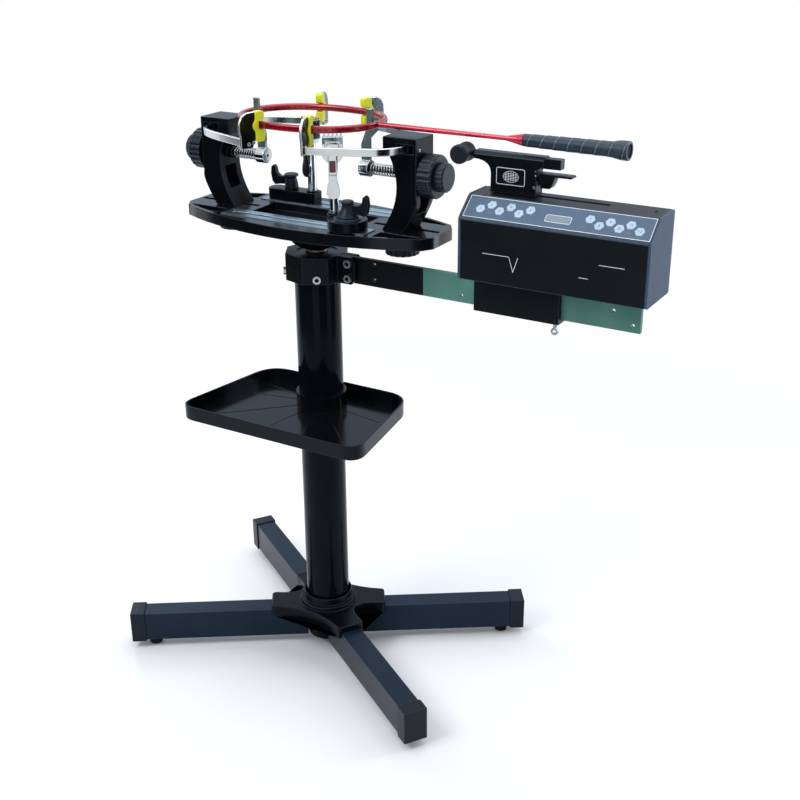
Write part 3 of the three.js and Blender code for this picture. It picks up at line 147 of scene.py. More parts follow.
def addSlots(piece):
    # The bevels give their new faces the second slot, and so tell them from the old ones
    piece.data.materials.append(None)
    piece.data.materials.append(None)


def softened(piece, width, segments=2):
    # The rounded strips keep the value 1 in the edge attribute, which carries both the wear of the finish
    # and a painted highlight along every rounded edge
    addSlots(piece)
    finishWith(piece, "BEVEL", width=width, segments=segments, limit_method="ANGLE",
               angle_limit=math.radians(edgeAngle), use_clamp_overlap=False, material=1)
    strips = [float(face.material_index) for face in piece.data.polygons]
    wear = piece.data.attributes.new("edgeWearAndHighlight", "FLOAT", "FACE")
    wear.data.foreach_set("value", strips)
    piece.data.polygons.foreach_set("material_index", [0] * len(strips))
    piece.data.materials.clear()


def smoothed(piece, angle=edgeAngle, weighted=True):
    select(piece)
    bpy.ops.object.shade_smooth_by_angle(angle=math.radians(angle))
    if weighted:
        finishWith(piece, "WEIGHTED_NORMAL", keep_sharp=True, weight=60)


def hollowed(piece, wall):
    # A ring or frame along Z, with walls of this thickness
    with editing(piece):
        pickFaces(lambda face: abs(face.normal.z) > 0.9)
        bpy.ops.mesh.inset(thickness=wall)
        bpy.ops.mesh.bridge_edge_loops()
    with editing(piece):
        bpy.ops.mesh.select_all(action="SELECT")
        bpy.ops.mesh.normals_make_consistent(inside=False)


def fitted(piece, finish, node, *replaced):
    piece.data.materials.clear()
    piece.data.materials.append(finish)
    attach(piece, bodyOf[node])
    if replaced:
        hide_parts(*replaced)
    return piece


def addFinish(piece, finish, test):
    # The second finish goes on the faces that the test picks
    piece.data.materials.append(finish)
    last = len(piece.data.materials) - 1
    for face in piece.data.polygons:
        if test(face.center, face.normal):
            face.material_index = last


def boxOf(node):
    low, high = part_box(node)
    return low, high, (low + high) / 2


def cylinder(name, radius, low, high, axis="Z", at=(0, 0), segments=32):
    middle = (low + high) / 2
    turns = {"Z": (0, 0, 0), "X": (0, math.pi / 2, 0)}
    places = {"Z": (*at, middle), "X": (middle, *at)}
    bpy.ops.mesh.primitive_cylinder_add(vertices=segments, radius=radius, depth=abs(high - low),
                                        location=places[axis], rotation=turns[axis])
    piece = named(name)
    settle(piece)
    return piece


def block(name, low, high):
    # The corners are given in millimetres
    low, high = Vector(low) * mm, Vector(high) * mm
    bpy.ops.mesh.primitive_cube_add(size=1, location=(low + high) / 2)
    piece = named(name)
    piece.scale = high - low
    settle(piece)
    return piece


# Small tools for finishes

def tone(code):
    parts = [int(code[i:i + 2], 16) / 255 for i in (0, 2, 4)]
    return tuple(v / 12.92 if v < 0.04045 else ((v + 0.055) / 1.055) ** 2.4 for v in parts) + (1.0,)


class Value:
    def __init__(self, owner, socket):
        self.owner = owner
        self.socket = socket

    def apply(self, operation, *others, swapped=False):
        values = [self, *others]
        if swapped:
            values.reverse()
        made = self.owner.node("ShaderNodeMath", {"operation": operation}, dict(enumerate(values)))
        return Value(self.owner, made.outputs[0])

    def __add__(self, other):
        return self.apply("ADD", other)

    __radd__ = __add__

    def __sub__(self, other):
        return self.apply("SUBTRACT", other)

    def __rsub__(self, other):
        return self.apply("SUBTRACT", other, swapped=True)

    def __mul__(self, other):
        return self.apply("MULTIPLY", other)

    def __truediv__(self, other):
        return self.apply("DIVIDE", other)

    def between(self, low, high):
        made = self.owner.node("ShaderNodeMapRange", {"interpolation_type": "SMOOTHSTEP"},
                               {"Value": self, "From Min": low, "From Max": high})
        return Value(self.owner, made.outputs["Result"])


class Nodes:
    def __init__(self, tree):
        self.tree = tree
        self.tree.nodes.clear()

    def node(self, kind, settings=None, sockets=None):
        made = self.tree.nodes.new(kind)
        for name, value in (settings or {}).items():
            setattr(made, name, value)
        for name, value in (sockets or {}).items():
            self.feed(made.inputs[name], value)
        return made

    def feed(self, socket, value):
        if isinstance(value, Value):
            value = value.socket
        if isinstance(value, bpy.types.NodeSocket):
            self.tree.links.new(value, socket)
        else:
            socket.default_value = value

    def seenBackground(self):
        # 1 for what the camera sees by itself, in a reflection or through something clear
        rays = self.node("ShaderNodeLightPath").outputs
        seen = Value(self, rays["Is Camera Ray"]).apply("MAXIMUM", Value(self, rays["Is Glossy Ray"]))
        return seen.apply("MAXIMUM", Value(self, rays["Is Transmission Ray"]))


class Finish(Nodes):
    def __init__(self, name):
        self.material = bpy.data.materials.new(name)
        self.material.use_nodes = True
        super().__init__(self.material.node_tree)
        self.shader = self.node("ShaderNodeBsdfPrincipled")
        self.output = self.node("ShaderNodeOutputMaterial", {}, {"Surface": self.shader.outputs[0]})
        self.place = self.node("ShaderNodeTexCoord").outputs["Object"]

    def set(self, **values):
        # A name such as coatWeight stands for the socket Coat Weight
        for name, value in values.items():
            spaced = "".join(" " + c if c.isupper() else c for c in name[0].upper() + name[1:]).strip()
            self.feed(self.shader.inputs[spaced.replace("I O R", "IOR")], value)

    def noise(self, scale, detail=2.0, rough=0.5, stretch=None):
        where = self.place
        if stretch:
            where = self.node("ShaderNodeMapping", {}, {"Vector": where, "Scale": stretch}).outputs[0]
        made = self.node("ShaderNodeTexNoise", {},
                         {"Vector": where, "Scale": scale, "Detail": detail, "Roughness": rough})
        return Value(self, made.outputs["Fac"])

    def own(self, name):
        return Value(self, self.node("ShaderNodeAttribute", {"attribute_name": name}).outputs["Fac"])

    def along(self):
        split = self.node("ShaderNodeSeparateXYZ", {}, {"Vector": self.place})
        return [Value(self, split.outputs[i]) for i in range(3)]

    def blend(self, share, low, high):
        made = self.node("ShaderNodeMix", {"data_type": "RGBA"}, {0: share, 6: low, 7: high})
        return made.outputs[2]

    def bump(self, height, depth):
        sockets = {"Height": height, "Distance": depth, "Strength": 1.0}
        return self.node("ShaderNodeBump", {}, sockets).outputs[0]


# Finishes. Colours are given as they look; scales are in cycles per metre, depths in metres

# edge is the colour of the rounded edge strips: wear of the finish together with a painted highlight along
# the edges
plainLook = {
    "colour": "16181b", "tint": "1b1e22", "edge": "4a5056", "wear": 0.3, "rough": 0.34, "spread": 0.1,
    "cloud": 14.0, "grain": 900.0, "grainDepth": 0.00006, "metal": 0.0, "coat": 0.0,
    "brush": None, "scratch": 0.0, "specular": 0.5, "sheen": "c4d8f0",
}


def surface(name, **changes):
    look = {**plainLook, **changes}
    finish = Finish(name)
    cloud = finish.noise(look["cloud"], 4.0, 0.6)
    grain = finish.noise(look["grain"], 2.0, 0.5, look["brush"])
    colour = finish.blend(cloud.between(0.3, 0.7), tone(look["colour"]), tone(look["tint"]))
    # The edge strip keeps at least 0.7 of its share everywhere: a painted highlight along every rounded
    # edge, with chips of wear in it
    chips = finish.noise(220.0, 3.0, 0.7).between(0.4, 0.7) * 0.3 + 0.7
    colour = finish.blend(finish.own("edgeWearAndHighlight") * chips * look["wear"], colour, tone(look["edge"]))
    rough = cloud * look["spread"] + (look["rough"] - look["spread"] / 2)
    if look["scratch"]:
        lines = finish.noise(60.0, 5.0, 0.75, (1.0, 9.0, 3.0)).between(0.62, 0.8)
        rough = rough + lines * look["scratch"]
    rough = rough + (grain - 0.5) * 0.06
    finish.set(baseColor=colour, roughness=rough, metallic=look["metal"], coatWeight=look["coat"],
               coatRoughness=0.08, specularIORLevel=look["specular"],
               normal=finish.bump(grain, look["grainDepth"]))
    if not look["metal"]:
        finish.set(specularTint=tone(look["sheen"]))
    return finish.material


blackPaint = surface("blackPaint", colour="121d2b", tint="172331", edge="3d4957", rough=0.3, specular=0.26,
                     scratch=0.1, sheen="b0ccf0")
columnPaint = surface("columnPaint", colour="070b10", tint="0a0f15", rough=0.12, specular=0.09, grain=300.0,
                      grainDepth=0.00001, scratch=0.06)
castPaint = surface("castPaint", colour="06090b", tint="090c0f", edge="39434c", rough=0.28, specular=0.16,
                    grain=500.0, scratch=0.12)
tablePaint = surface("tablePaint", colour="080b0e", tint="0c0f13", edge="525c66", rough=0.2, specular=0.34,
                     grain=420.0, grainDepth=0.00005, scratch=0.14, wear=0.25)
trayPlastic = surface("trayPlastic", colour="07090b", tint="0a0d10", rough=0.16, specular=0.22, grain=260.0,
                      grainDepth=0.00002, scratch=0.14, wear=0.06)
capPlastic = surface("capPlastic", colour="0b0f14", tint="10151b", edge="3c4753", rough=0.4, specular=0.3,
                     grain=1400.0)
knobPlastic = surface("knobPlastic", colour="0d1116", tint="12171d", rough=0.36, specular=0.3, grain=1500.0,
                      edge="46535f", wear=0.5)
footRubber = surface("footRubber", colour="101112", tint="17181a", rough=0.85, grain=700.0,
                     grainDepth=0.0002, specular=0.25)
chromePlate = surface("chromePlate", colour="c3cacd", tint="d6dcde", edge="f4f6f7", rough=0.1, spread=0.05,
                      metal=1.0, grain=120.0, grainDepth=0.00002, scratch=0.1)
armSteel = surface("armSteel", colour="c6cfd1", tint="d8dfdf", edge="f2f5f5", rough=0.16, spread=0.06,
                   metal=1.0, grain=200.0, grainDepth=0.00001, brush=(0.3, 0.3, 3.0), scratch=0.1)
brushedSteel = surface("brushedSteel", colour="8ea6b6", tint="a0b6c4", edge="dde6ec", rough=0.28,
                       metal=1.0, grain=240.0, brush=(0.06, 6.0, 3.0), scratch=0.15)
holderSteel = surface("holderSteel", colour="7f858c", tint="989da4", edge="f0f3f5", rough=0.18,
                      spread=0.08, metal=1.0, grain=240.0, brush=(0.5, 0.5, 6.0), scratch=0.12)
# Front holders: a darker steel whose rounded rims take a near-white painted highlight
holderDark = surface("holderDark", colour="25282e", tint="33373e", edge="e4e9ec", rough=0.2, wear=0.9,
                     spread=0.06, metal=1.0, grain=240.0, brush=(0.5, 0.5, 6.0), scratch=0.1)
# A greenish grey for the support plate's flat faces: a painted reflection on the steel
supportSteelReflection = surface("supportSteelReflection", colour="5c6d6c", tint="6b7c7a", edge="c2c9c8", rough=0.36, wear=0.8,
                       spread=0.12, metal=0.6, grain=240.0, brush=(5.0, 5.0, 0.2), scratch=0.12)
boltSteel = surface("boltSteel", colour="a9aeb2", tint="bcc0c4", edge="e0e4e7", rough=0.3, metal=1.0)
springSteel = surface("springSteel", colour="a5abae", tint="bcc1c3", rough=0.2, metal=1.0, grain=2000.0)
rodSteel = surface("rodSteel", colour="2b3032", tint="3a4042", rough=0.3, metal=0.9, grain=240.0,
                   brush=(0.2, 6.0, 6.0))
bushBrass = surface("bushBrass", colour="b7a98f", tint="c9bca2", edge="e6dcc6", rough=0.36, metal=1.0,
                    brush=(1.0, 1.0, 8.0))
padYellow = surface("padYellow", colour="dfe012", tint="cfd40c", edge="eef05a", rough=0.4, grain=1200.0,
                    grainDepth=0.00008, specular=0.4)
filmGreen = surface("filmGreen", colour="4b7a6e", tint="568478", edge="a3c4bb", rough=0.4, grain=420.0,
                    grainDepth=0.00004, scratch=0.22, specular=0.3)
armBlack = surface("armBlack", colour="0a0f10", tint="0d1213", specular=0.2, scratch=0.18)
# The head's strong bluish edge colour is a painted highlight along its rounded edges, the wide front edge
# most of all, together with wear
headBlack = surface("headBlack", colour="090d0e", tint="0d1112", edge="4f6072", rough=0.4, grain=1800.0,
                    specular=0.22, wear=0.6)
capGrey = surface("capGrey", colour="314358", tint="394e66", edge="8594a4", rough=0.45, specular=0.12)
panelGrey = surface("panelGrey", colour="485c70", tint="51657a", rough=0.38, grain=1500.0, specular=0.35)
keyPale = surface("keyPale", colour="a8bacc", tint="b8cadb", edge="ffffff", rough=0.4, grain=1500.0)
printWhite = surface("printWhite", colour="cfd8e2", tint="e2e9f0", rough=0.5)
printRed = surface("printRed", colour="b3555c", tint="c0626a", rough=0.5)
printBlue = surface("printBlue", colour="35507a", tint="416088", rough=0.5)
displayGlass = surface("displayGlass", colour="5a6672", tint="64717e", rough=0.15, coat=0.5)
gripperBlack = surface("gripperBlack", colour="080b0d", tint="0c1013", edge="49555f", rough=0.3,
                       specular=0.28, grain=700.0)
rollerBlack = surface("rollerBlack", colour="14181d", tint="1a1f25", edge="3c454f", rough=0.5, grain=1200.0,
                      specular=0.3)
darkHole = surface("darkHole", colour="060708", tint="0a0b0c", rough=0.7, specular=0.2)
windowRed = surface("windowRed", colour="6a3038", tint="7d3d46", rough=0.3)
washerBlue = surface("washerBlue", colour="16253a", tint="1d2f48", edge="56708f", rough=0.3, specular=0.4)
racketPaint = {"colour": "8a0a1b", "tint": "a01025", "nearGrip": "b92440"}


def lacquerRed():
    finish = Finish("racketRed")
    x = finish.along()[0]
    flake = finish.noise(4200.0, 1.0)
    cloud = finish.noise(30.0, 3.0)
    colour = finish.blend(cloud.between(0.3, 0.7), tone(racketPaint["colour"]), tone(racketPaint["tint"]))
    colour = finish.blend(x.between(0.0, 0.05), colour, tone(racketPaint["nearGrip"]))
    finish.set(baseColor=colour, roughness=0.2 + (flake - 0.5) * 0.12, metallic=0.3, coatWeight=0.35,
               coatRoughness=0.06, normal=finish.bump(flake, 0.00002))
    return finish.material


racketRed = lacquerRed()
print("finishes made")


# Castings and plates: the CAD shapes with their facets merged and their edges rounded

def dressed(node, finish, width, segments=2, first=None, reshape=None):
    # first gives the edges that are rounded before the others, by a width of their own
    piece = copyOf(frame["nodes"][node], f"{node}_skin")
    piece.data.materials.clear()
    with editing(piece):
        bpy.ops.mesh.select_all(action="SELECT")
        bpy.ops.mesh.customdata_custom_splitnormals_clear()
        bpy.ops.mesh.remove_doubles(threshold=0.02 * mm)
        bpy.ops.mesh.dissolve_limited(angle_limit=math.radians(0.6))
    if reshape:
        reshape(piece)
    # Edges rounded first count as edge strips too, so they take the finish's edge colour; on the head this
    # is a painted highlight
    if first:
        offset, test = first
        addSlots(piece)
        with editing(piece, "EDGE"):
            pickEdges(lambda edge: test(edge.verts[0].co, edge.verts[1].co))
            bpy.ops.mesh.bevel(offset=offset * mm, segments=6, affect="EDGES", material=1)
    softened(piece, width * mm, segments)
    smoothed(piece)
    return fitted(piece, finish, node, node)


axisX = boxOf("post")[2].x / mm
near = 0.1 * mm
slopeFoot = Vector((0, -62.0, 868.0)) * mm        # the lower and upper edge of the head's sloped face
slopeHead = Vector((0, -28.0, 897.0)) * mm
trayLook = {"bottom": 480 * mm, "floor": 483 * mm, "rim": 505 * mm, "collar": 50 * mm,
            "ribHeight": 1.02 * mm, "ribShare": 0.62}


def isHeadEdge(a, b):
    long = abs(a.x - b.x) > 200 * mm
    return long and abs(a.y - slopeFoot.y) < near and abs(a.z - slopeFoot.z) < near


def isTrayOutline(a, b):
    level = abs(a.z - b.z) < 0.01 * mm
    outside = math.hypot(a.x - axisX * mm, a.y) > trayLook["collar"]
    return level and outside and any(abs(a.z - trayLook[key]) < near for key in ("rim", "bottom"))


def lowerTrayRibs(tray):
    # In the photo the ribs are barely seen
    for vertex in tray.data.vertices:
        above = vertex.co.z - trayLook["floor"]
        if 0 < above < trayLook["ribHeight"]:
            vertex.co.z = trayLook["floor"] + above * trayLook["ribShare"]


# Each piece has its finish and the width of its rounded edges in millimetres
legs = [f"{row}_{side}" for row in ("front", "back") for side in sideSign]
plainPieces = {
    **{f"leg_{leg}": (blackPaint, 1.2) for leg in legs},
    **{f"leg_cap_{leg}": (capPlastic, 1.5) for leg in legs},
    **{f"foot_{leg}": (footRubber, 1.0) for leg in legs},
    "base_star": (castPaint, 2.0),
    "post": (columnPaint, 0.8),
    "mast_clamp": (castPaint, 1.0),
    "pivot_bush": (bushBrass, 0.5),
    "tool_tray": (trayPlastic, 0.3),
    "turntable_plate": (tablePaint, 0.9),
    **{f"rail_{row}": (brushedSteel, 0.5) for row in rowSign},
    **{f"tower_{side}": (castPaint, 1.6) for side in sideSign},
    **{f"{kind}_knob_{side}": (knobPlastic, 0.7) for kind in ("tower_lock", "arm", "spindle")
       for side in sideSign},
    **{f"pad_{side}_{row}": (padYellow, 1.3) for side in sideSign for row in rowSign},
    **{f"string_clamp_base_{row}": (castPaint, 1.0) for row in rowSign},
    **{f"string_clamp_knob_{row}": (capPlastic, 1.0) for row in rowSign},
    **{f"string_clamp_head_{row}": (chromePlate, 0.4) for row in rowSign},
    **{f"string_clamp_lever_{row}": (chromePlate, 0.7) for row in rowSign},
    "head_housing": (headBlack, 1.0),
    "head_cap_left": (capGrey, 0.8),
    "head_cap_right": (capGrey, 0.8),
    "head_bracket": (armBlack, 0.8),
    "thumb_screw": (boltSteel, 0.5),
    "gripper_body": (gripperBlack, 0.7),
    "jaw_lever": (gripperBlack, 1.0),
    "diablo": (rollerBlack, 0.6),
}
# The head's wide rounded edge carries a painted bluish highlight through its edge colour
firstEdges = {"head_housing": (2.8, isHeadEdge), "tool_tray": (1.0, isTrayOutline)}
reshapes = {"tool_tray": lowerTrayRibs}
skins = {}
for node, (finish, width) in plainPieces.items():
    skins[node] = dressed(node, finish, width, first=firstEdges.get(node), reshape=reshapes.get(node))
print("castings dressed")


# Pieces of two finishes

armLook = {"filmFrom": 67 * mm, "edge": 0.5}


def cutAtFilm(arm):
    with editing(arm):
        bpy.ops.mesh.select_all(action="SELECT")
        bpy.ops.mesh.bisect(plane_co=(armLook["filmFrom"], 0, 0), plane_no=(1, 0, 0))


barSkin = dressed("arm_bar", armBlack, armLook["edge"], reshape=cutAtFilm)
addFinish(barSkin, filmGreen, lambda centre, normal: centre.x > armLook["filmFrom"])

# Millimetres and degrees. The seats are where the holders stand, counted from the hoop's middle
mountingLook = {
    "tableTop": 821, "axisLevel": 908, "noseRadius": 13, "noseReach": 109.4, "supportGap": 0.3,
    "holderTurn": 16, "notch": 93, "plateHalf": 2.1, "plateFrom": 95.9, "holderFace": 2.0,
    "holderSeats": {"right_front": (54, 90.85), "right_rear": (46, 93), "left_front": (39, 94.51),
                    "left_rear": (46, 93)},
    "holderScrews": [(112.2, 130.2), (102.6, 131.4)], "padScrew": (102.5, 168),
    "pivot": (188, 17), "pivotRadius": 9, "railAcross": 56.25,
}


def holderFrame(side, row):
    # X goes through the holder's thickness, Y outwards, with the hoop's middle at 0
    along, across = mountingLook["holderSeats"][f"{side}_{row}"]
    sx, sy = sideSign[side], rowSign[row]
    turn = math.radians(mountingLook["holderTurn"])
    through = Vector((math.cos(turn), -math.sin(turn) * sx * sy, 0))
    outward = Vector((math.sin(turn) * sx, math.cos(turn) * sy, 0))
    place = Matrix((through, outward, Vector((0, 0, 1)))).transposed().to_4x4()
    seat = Vector((axisX + along * sx, across * sy, mountingLook["tableTop"]))
    return Matrix.Translation((seat - outward * mountingLook["notch"]) * mm) @ place


def dressSpindle(side, out):
    spindle = dressed(f"spindle_{side}", chromePlate, 0.5, segments=3)
    nose = (axisX + mountingLook["noseReach"] * out) * mm
    addFinish(spindle, rodSteel, lambda centre, normal: (centre.x - nose) * out > 0)
    # The support plate's flat faces take the greenish painted reflection
    support = (mountingLook["axisLevel"] + mountingLook["noseRadius"] + mountingLook["supportGap"]) * mm
    addFinish(spindle, supportSteelReflection, lambda centre, normal: centre.z > support and abs(normal.y) > 0.9)


def dressSideArm(side, row):
    arm = dressed(f"side_arm_{side}_{row}", armSteel, 1.5, segments=3)
    back = holderFrame(side, row).inverted()
    turnBack = back.to_3x3()
    along, across = mountingLook["pivot"]
    pivot = Vector((axisX + along * sideSign[side], across * rowSign[row])) * mm

    def onPlate(centre, normal):
        spot = back @ centre
        inPlate = abs(spot.x) < mountingLook["plateHalf"] * mm and spot.y > mountingLook["plateFrom"] * mm
        return inPlate and abs(normal.z) < 0.5 and abs((turnBack @ normal).x) > 0.9

    addFinish(arm, holderDark if row == "front" else holderSteel, onPlate)
    addFinish(arm, castPaint,
              lambda centre, normal: (centre.xy - pivot).length < mountingLook["pivotRadius"] * mm)


for side, out in sideSign.items():
    dressSpindle(side, out)
    for row in rowSign:
        dressSideArm(side, row)
washerLook = {"along": 100, "radius": 22.4 * mm, "above": 839 * mm}
washer = Vector((axisX + washerLook["along"], -mountingLook["railAcross"])) * mm
addFinish(skins["string_clamp_base_front"], washerBlue, lambda centre, normal:
          centre.z > washerLook["above"] and (centre.xy - washer).length < washerLook["radius"])
print("two-finish pieces dressed")


# Springs: one wire each, wound round the spindle

springLook = {"curls": 9, "wire": 1.0 * mm, "radius": 8.5 * mm, "steps": 24}


def makeSpring(side, out):
    low, high, centre = boxOf(f"spring_{side}")
    nose, seat = (low.x, high.x) if out > 0 else (high.x, low.x)
    straight = 2 * springLook["wire"] * out
    count = springLook["curls"] * springLook["steps"]
    points = []
    for i in range(count + 1):
        turn = 2 * math.pi * i / springLook["steps"]
        x = nose + straight + (seat - nose - 2 * straight) * i / count
        points.append((x, centre.y + springLook["radius"] * math.cos(turn),
                       centre.z + springLook["radius"] * math.sin(turn)))
    points = [(nose, *points[0][1:])] + points + [(seat, *points[-1][1:])]
    curve = bpy.data.curves.new(f"spring_wire_{side}", "CURVE")
    curve.dimensions = "3D"
    curve.bevel_depth = springLook["wire"]
    curve.bevel_resolution = 3
    curve.use_fill_caps = True
    wire = curve.splines.new("POLY")
    wire.points.add(len(points) - 1)
    for point, place in zip(wire.points, points):
        point.co = (*place, 1)
    spring = meshFrom(f"spring_wire_{side}", curve)
    smoothed(spring, 50, weighted=False)
    spring.data.materials.clear()
    spring.data.materials.append(springSteel)
    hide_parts(f"spring_{side}")
    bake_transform(spring)


for side, out in sideSign.items():
    makeSpring(side, out)
print("springs wound")


# Racket: hoop with its eyelets, shaft and cone, wrapped grip

racketLook = {
    "halfLength": 126 * mm, "halfWidth": 95 * mm, "power": 2.2, "tubeWidth": 9.5 * mm,
    "tubeHeight": 11 * mm, "tubePower": 2.6, "groove": 1.1 * mm, "shaftRadius": 3.5 * mm,
    "shaftInHoop": 3 * mm, "rootLength": 12 * mm, "rootSize": (1, 1.4, 1.36), "rootEnd": (1, 0.87, 0.9),
    "rootRim": 0.4 * mm, "coneLength": 29 * mm, "coneSize": (1, 2.62, 2.62),
    "eyelets": 68, "eyeletRadius": 1.1 * mm, "eyeletWire": 0.35 * mm, "eyeletDepth": 0.85 * mm,
    "bareAtShaft": 0.06,
}


def hoopPoint(angle, inset, up, centre):
    power = racketLook["power"]
    along = abs(math.cos(angle) / (racketLook["halfLength"] - inset)) ** power
    across = abs(math.sin(angle) / (racketLook["halfWidth"] - inset)) ** power
    reach = (along + across) ** (-1 / power)
    return Vector((centre.x + reach * math.cos(angle), centre.y + reach * math.sin(angle), centre.z + up))


def makeHoop(centre):
    look = racketLook
    ring, tube, power = 100 * mm, 10 * mm, look["tubePower"]
    bpy.ops.mesh.primitive_torus_add(major_segments=144, minor_segments=20, major_radius=ring,
                                     minor_radius=tube)
    hoop = named("racket_hoop")
    for vertex in hoop.data.vertices:
        angle = math.atan2(vertex.co.y, vertex.co.x)
        out = (math.hypot(vertex.co.x, vertex.co.y) - ring) / tube
        up = vertex.co.z / tube
        fullness = (abs(out) ** power + abs(up) ** power) ** (-1 / power)
        inset = look["tubeWidth"] / 2 * (1 - out * fullness)
        groove = max(0.0, out) ** 6 * look["groove"]
        vertex.co = hoopPoint(angle, inset + groove, up * fullness * look["tubeHeight"] / 2, centre)
    return hoop


def makeShaft(centre, end):
    look = racketLook
    start = centre.x + look["halfLength"] - look["shaftInHoop"]
    coneStart = end - look["coneLength"]
    rootEnd = start + look["rootLength"]
    shaft = cylinder("racket_shaft", look["shaftRadius"], start, coneStart, "X", (centre.y, centre.z))
    with editing(shaft):
        pickFaces(lambda face: face.normal.x < -0.9)
        bpy.ops.transform.resize(value=look["rootSize"])
        bpy.ops.mesh.inset(thickness=look["rootRim"])
    with editing(shaft):
        bpy.ops.mesh.select_all(action="SELECT")
        bpy.ops.mesh.bisect(plane_co=(rootEnd, 0, 0), plane_no=(1, 0, 0))
        pickEdges(lambda edge: all(abs(vertex.co.x - rootEnd) < near for vertex in edge.verts))
        bpy.ops.transform.resize(value=look["rootEnd"])
        pickFaces(lambda face: face.normal.x > 0.9)
        bpy.ops.mesh.extrude_region_move(TRANSFORM_OT_translate={"value": (look["coneLength"], 0, 0)})
        bpy.ops.transform.resize(value=look["coneSize"])
    return shaft


def makeEyelets(centre):
    look = racketLook
    bpy.ops.mesh.primitive_torus_add(major_segments=12, minor_segments=6,
                                     major_radius=look["eyeletRadius"], minor_radius=look["eyeletWire"])
    eyelet = named("racket_eyelet")
    eyelets = []
    for i in range(look["eyelets"]):
        angle = 2 * math.pi * (i + 0.5) / look["eyelets"]
        if abs(math.remainder(angle, 2 * math.pi)) < look["bareAtShaft"]:
            continue
        for out, inset in ((1, look["eyeletDepth"]), (-1, look["tubeWidth"])):
            spot = hoopPoint(angle, inset, 0, centre)
            ahead = hoopPoint(angle + 0.01, inset, 0, centre) - spot
            away = Vector((ahead.y, -ahead.x, 0)).normalized() * out
            turn = away.to_track_quat("Z", "Y").to_matrix().to_4x4()
            eyelets.append(copyOf(eyelet, f"racket_eyelet_{i}_{out}", Matrix.Translation(spot) @ turn))
    bpy.data.objects.remove(eyelet)
    strip = joined("racket_eyelets", eyelets)
    smoothed(strip, 60, weighted=False)
    fitted(strip, darkHole, "racket_frame")


def makeRacket():
    low, high, middle = boxOf("racket_frame")
    centre = Vector((low.x + racketLook["halfLength"], 0, middle.z))
    frameSkin = joined("racket_frame_skin", [makeHoop(centre), makeShaft(centre, high.x)])
    smoothed(frameSkin, 50)
    fitted(frameSkin, racketRed, "racket_frame", "racket_frame")
    makeEyelets(centre)


makeRacket()

# The radii are in millimetres, each after the share of the grip's length at which it holds
gripLook = {
    "pitch": 21 * mm, "ridge": 0.55 * mm, "rings": 150, "segments": 48, "widest": 14.4 * mm,
    "tapeFrom": 0.01, "tapeTo": 0.93, "rim": 3.2 * mm, "recess": 1.6 * mm, "recessStep": 1.0 * mm,
    "shape": [(0.0, 9.0), (0.02, 9.2), (0.1, 9.5), (0.45, 10.4), (0.78, 10.9), (0.84, 11.2), (0.93, 14.0),
              (0.99, 14.2), (1.0, 13.6)],
}


def gripTape(middle):
    finish = Finish("gripTape")
    x, y, z = finish.along()
    angle = (z - middle.z).apply("ARCTAN2", y - middle.y)
    phase = (x / gripLook["pitch"] + angle / (2 * math.pi)).apply("FRACT")
    # A lighter line along each raised lap edge: a painted highlight
    line = phase.between(0.0, 0.05) * (1 - phase.between(0.07, 0.14))
    # A darker band just before the next lap's edge: painted shade in the crease under it
    shade = line.apply("LESS_THAN", 0.02) * phase.between(0.86, 0.99)
    dots = finish.node("ShaderNodeTexVoronoi", {}, {"Vector": finish.place, "Scale": 700.0})
    pores = Value(finish, dots.outputs["Distance"]).between(0.1, 0.4)
    cloud = finish.noise(40.0, 4.0, 0.6)
    colour = finish.blend(cloud.between(0.3, 0.7), tone("1b2930"), tone("28363e"))
    # Painted highlight on the lap edges, then painted shade in the creases
    colour = finish.blend(line * 0.45, colour, tone("74838e"))
    colour = finish.blend(shade, colour, tone("10171c"))
    finish.set(baseColor=colour, roughness=0.42 - line * 0.12 + (cloud - 0.5) * 0.16, specularIORLevel=0.45,
               specularTint=tone("c4d8f0"), normal=finish.bump(pores, 0.00012))
    return finish.material


def gripRadius(share):
    shape = gripLook["shape"]
    after = next(i for i in range(1, len(shape)) if shape[i][0] >= share - 1e-6)
    (a, ra), (b, rb) = shape[after - 1], shape[after]
    return (ra + (rb - ra) * (share - a) / (b - a)) * mm


def makeGrip():
    look = gripLook
    low, high, middle = boxOf("racket_grip")
    length = high.x - low.x
    grip = cylinder("racket_grip_wrapped", 1 * mm, low.x, high.x, "X", (middle.y, middle.z),
                    look["segments"])
    with editing(grip, "EDGE"):
        pickEdges(lambda edge: abs(edge.verts[0].co.x - edge.verts[1].co.x) > length / 2)
        bpy.ops.mesh.subdivide(number_cuts=look["rings"])
    for vertex in grip.data.vertices:
        share = (vertex.co.x - low.x) / length
        angle = math.atan2(vertex.co.z - middle.z, vertex.co.y - middle.y)
        phase = (vertex.co.x / look["pitch"] + angle / (2 * math.pi)) % 1
        lap = look["ridge"] * (1 - phase) if look["tapeFrom"] < share < look["tapeTo"] else 0
        radius = min(gripRadius(share) + lap - look["ridge"] / 2, look["widest"])
        vertex.co.y = middle.y + radius * math.cos(angle)
        vertex.co.z = middle.z + radius * math.sin(angle)
    with editing(grip):
        pickFaces(lambda face: face.normal.x > 0.9)
        bpy.ops.mesh.inset(thickness=look["rim"])
        bpy.ops.mesh.extrude_region_move(TRANSFORM_OT_translate={"value": (-look["recess"], 0, 0)})
        bpy.ops.mesh.inset(thickness=look["recessStep"])
    smoothed(grip, 50)
    fitted(grip, gripTape(middle), "racket_grip", "racket_grip")
    recess = high.x - look["recess"] + near
    addFinish(grip, darkHole, lambda centre, normal: normal.x > 0.9 and centre.x < recess)


makeGrip()
print("racket made")


# Tension head: panel, keys, display and prints. Places are in millimetres, along X and up the slope

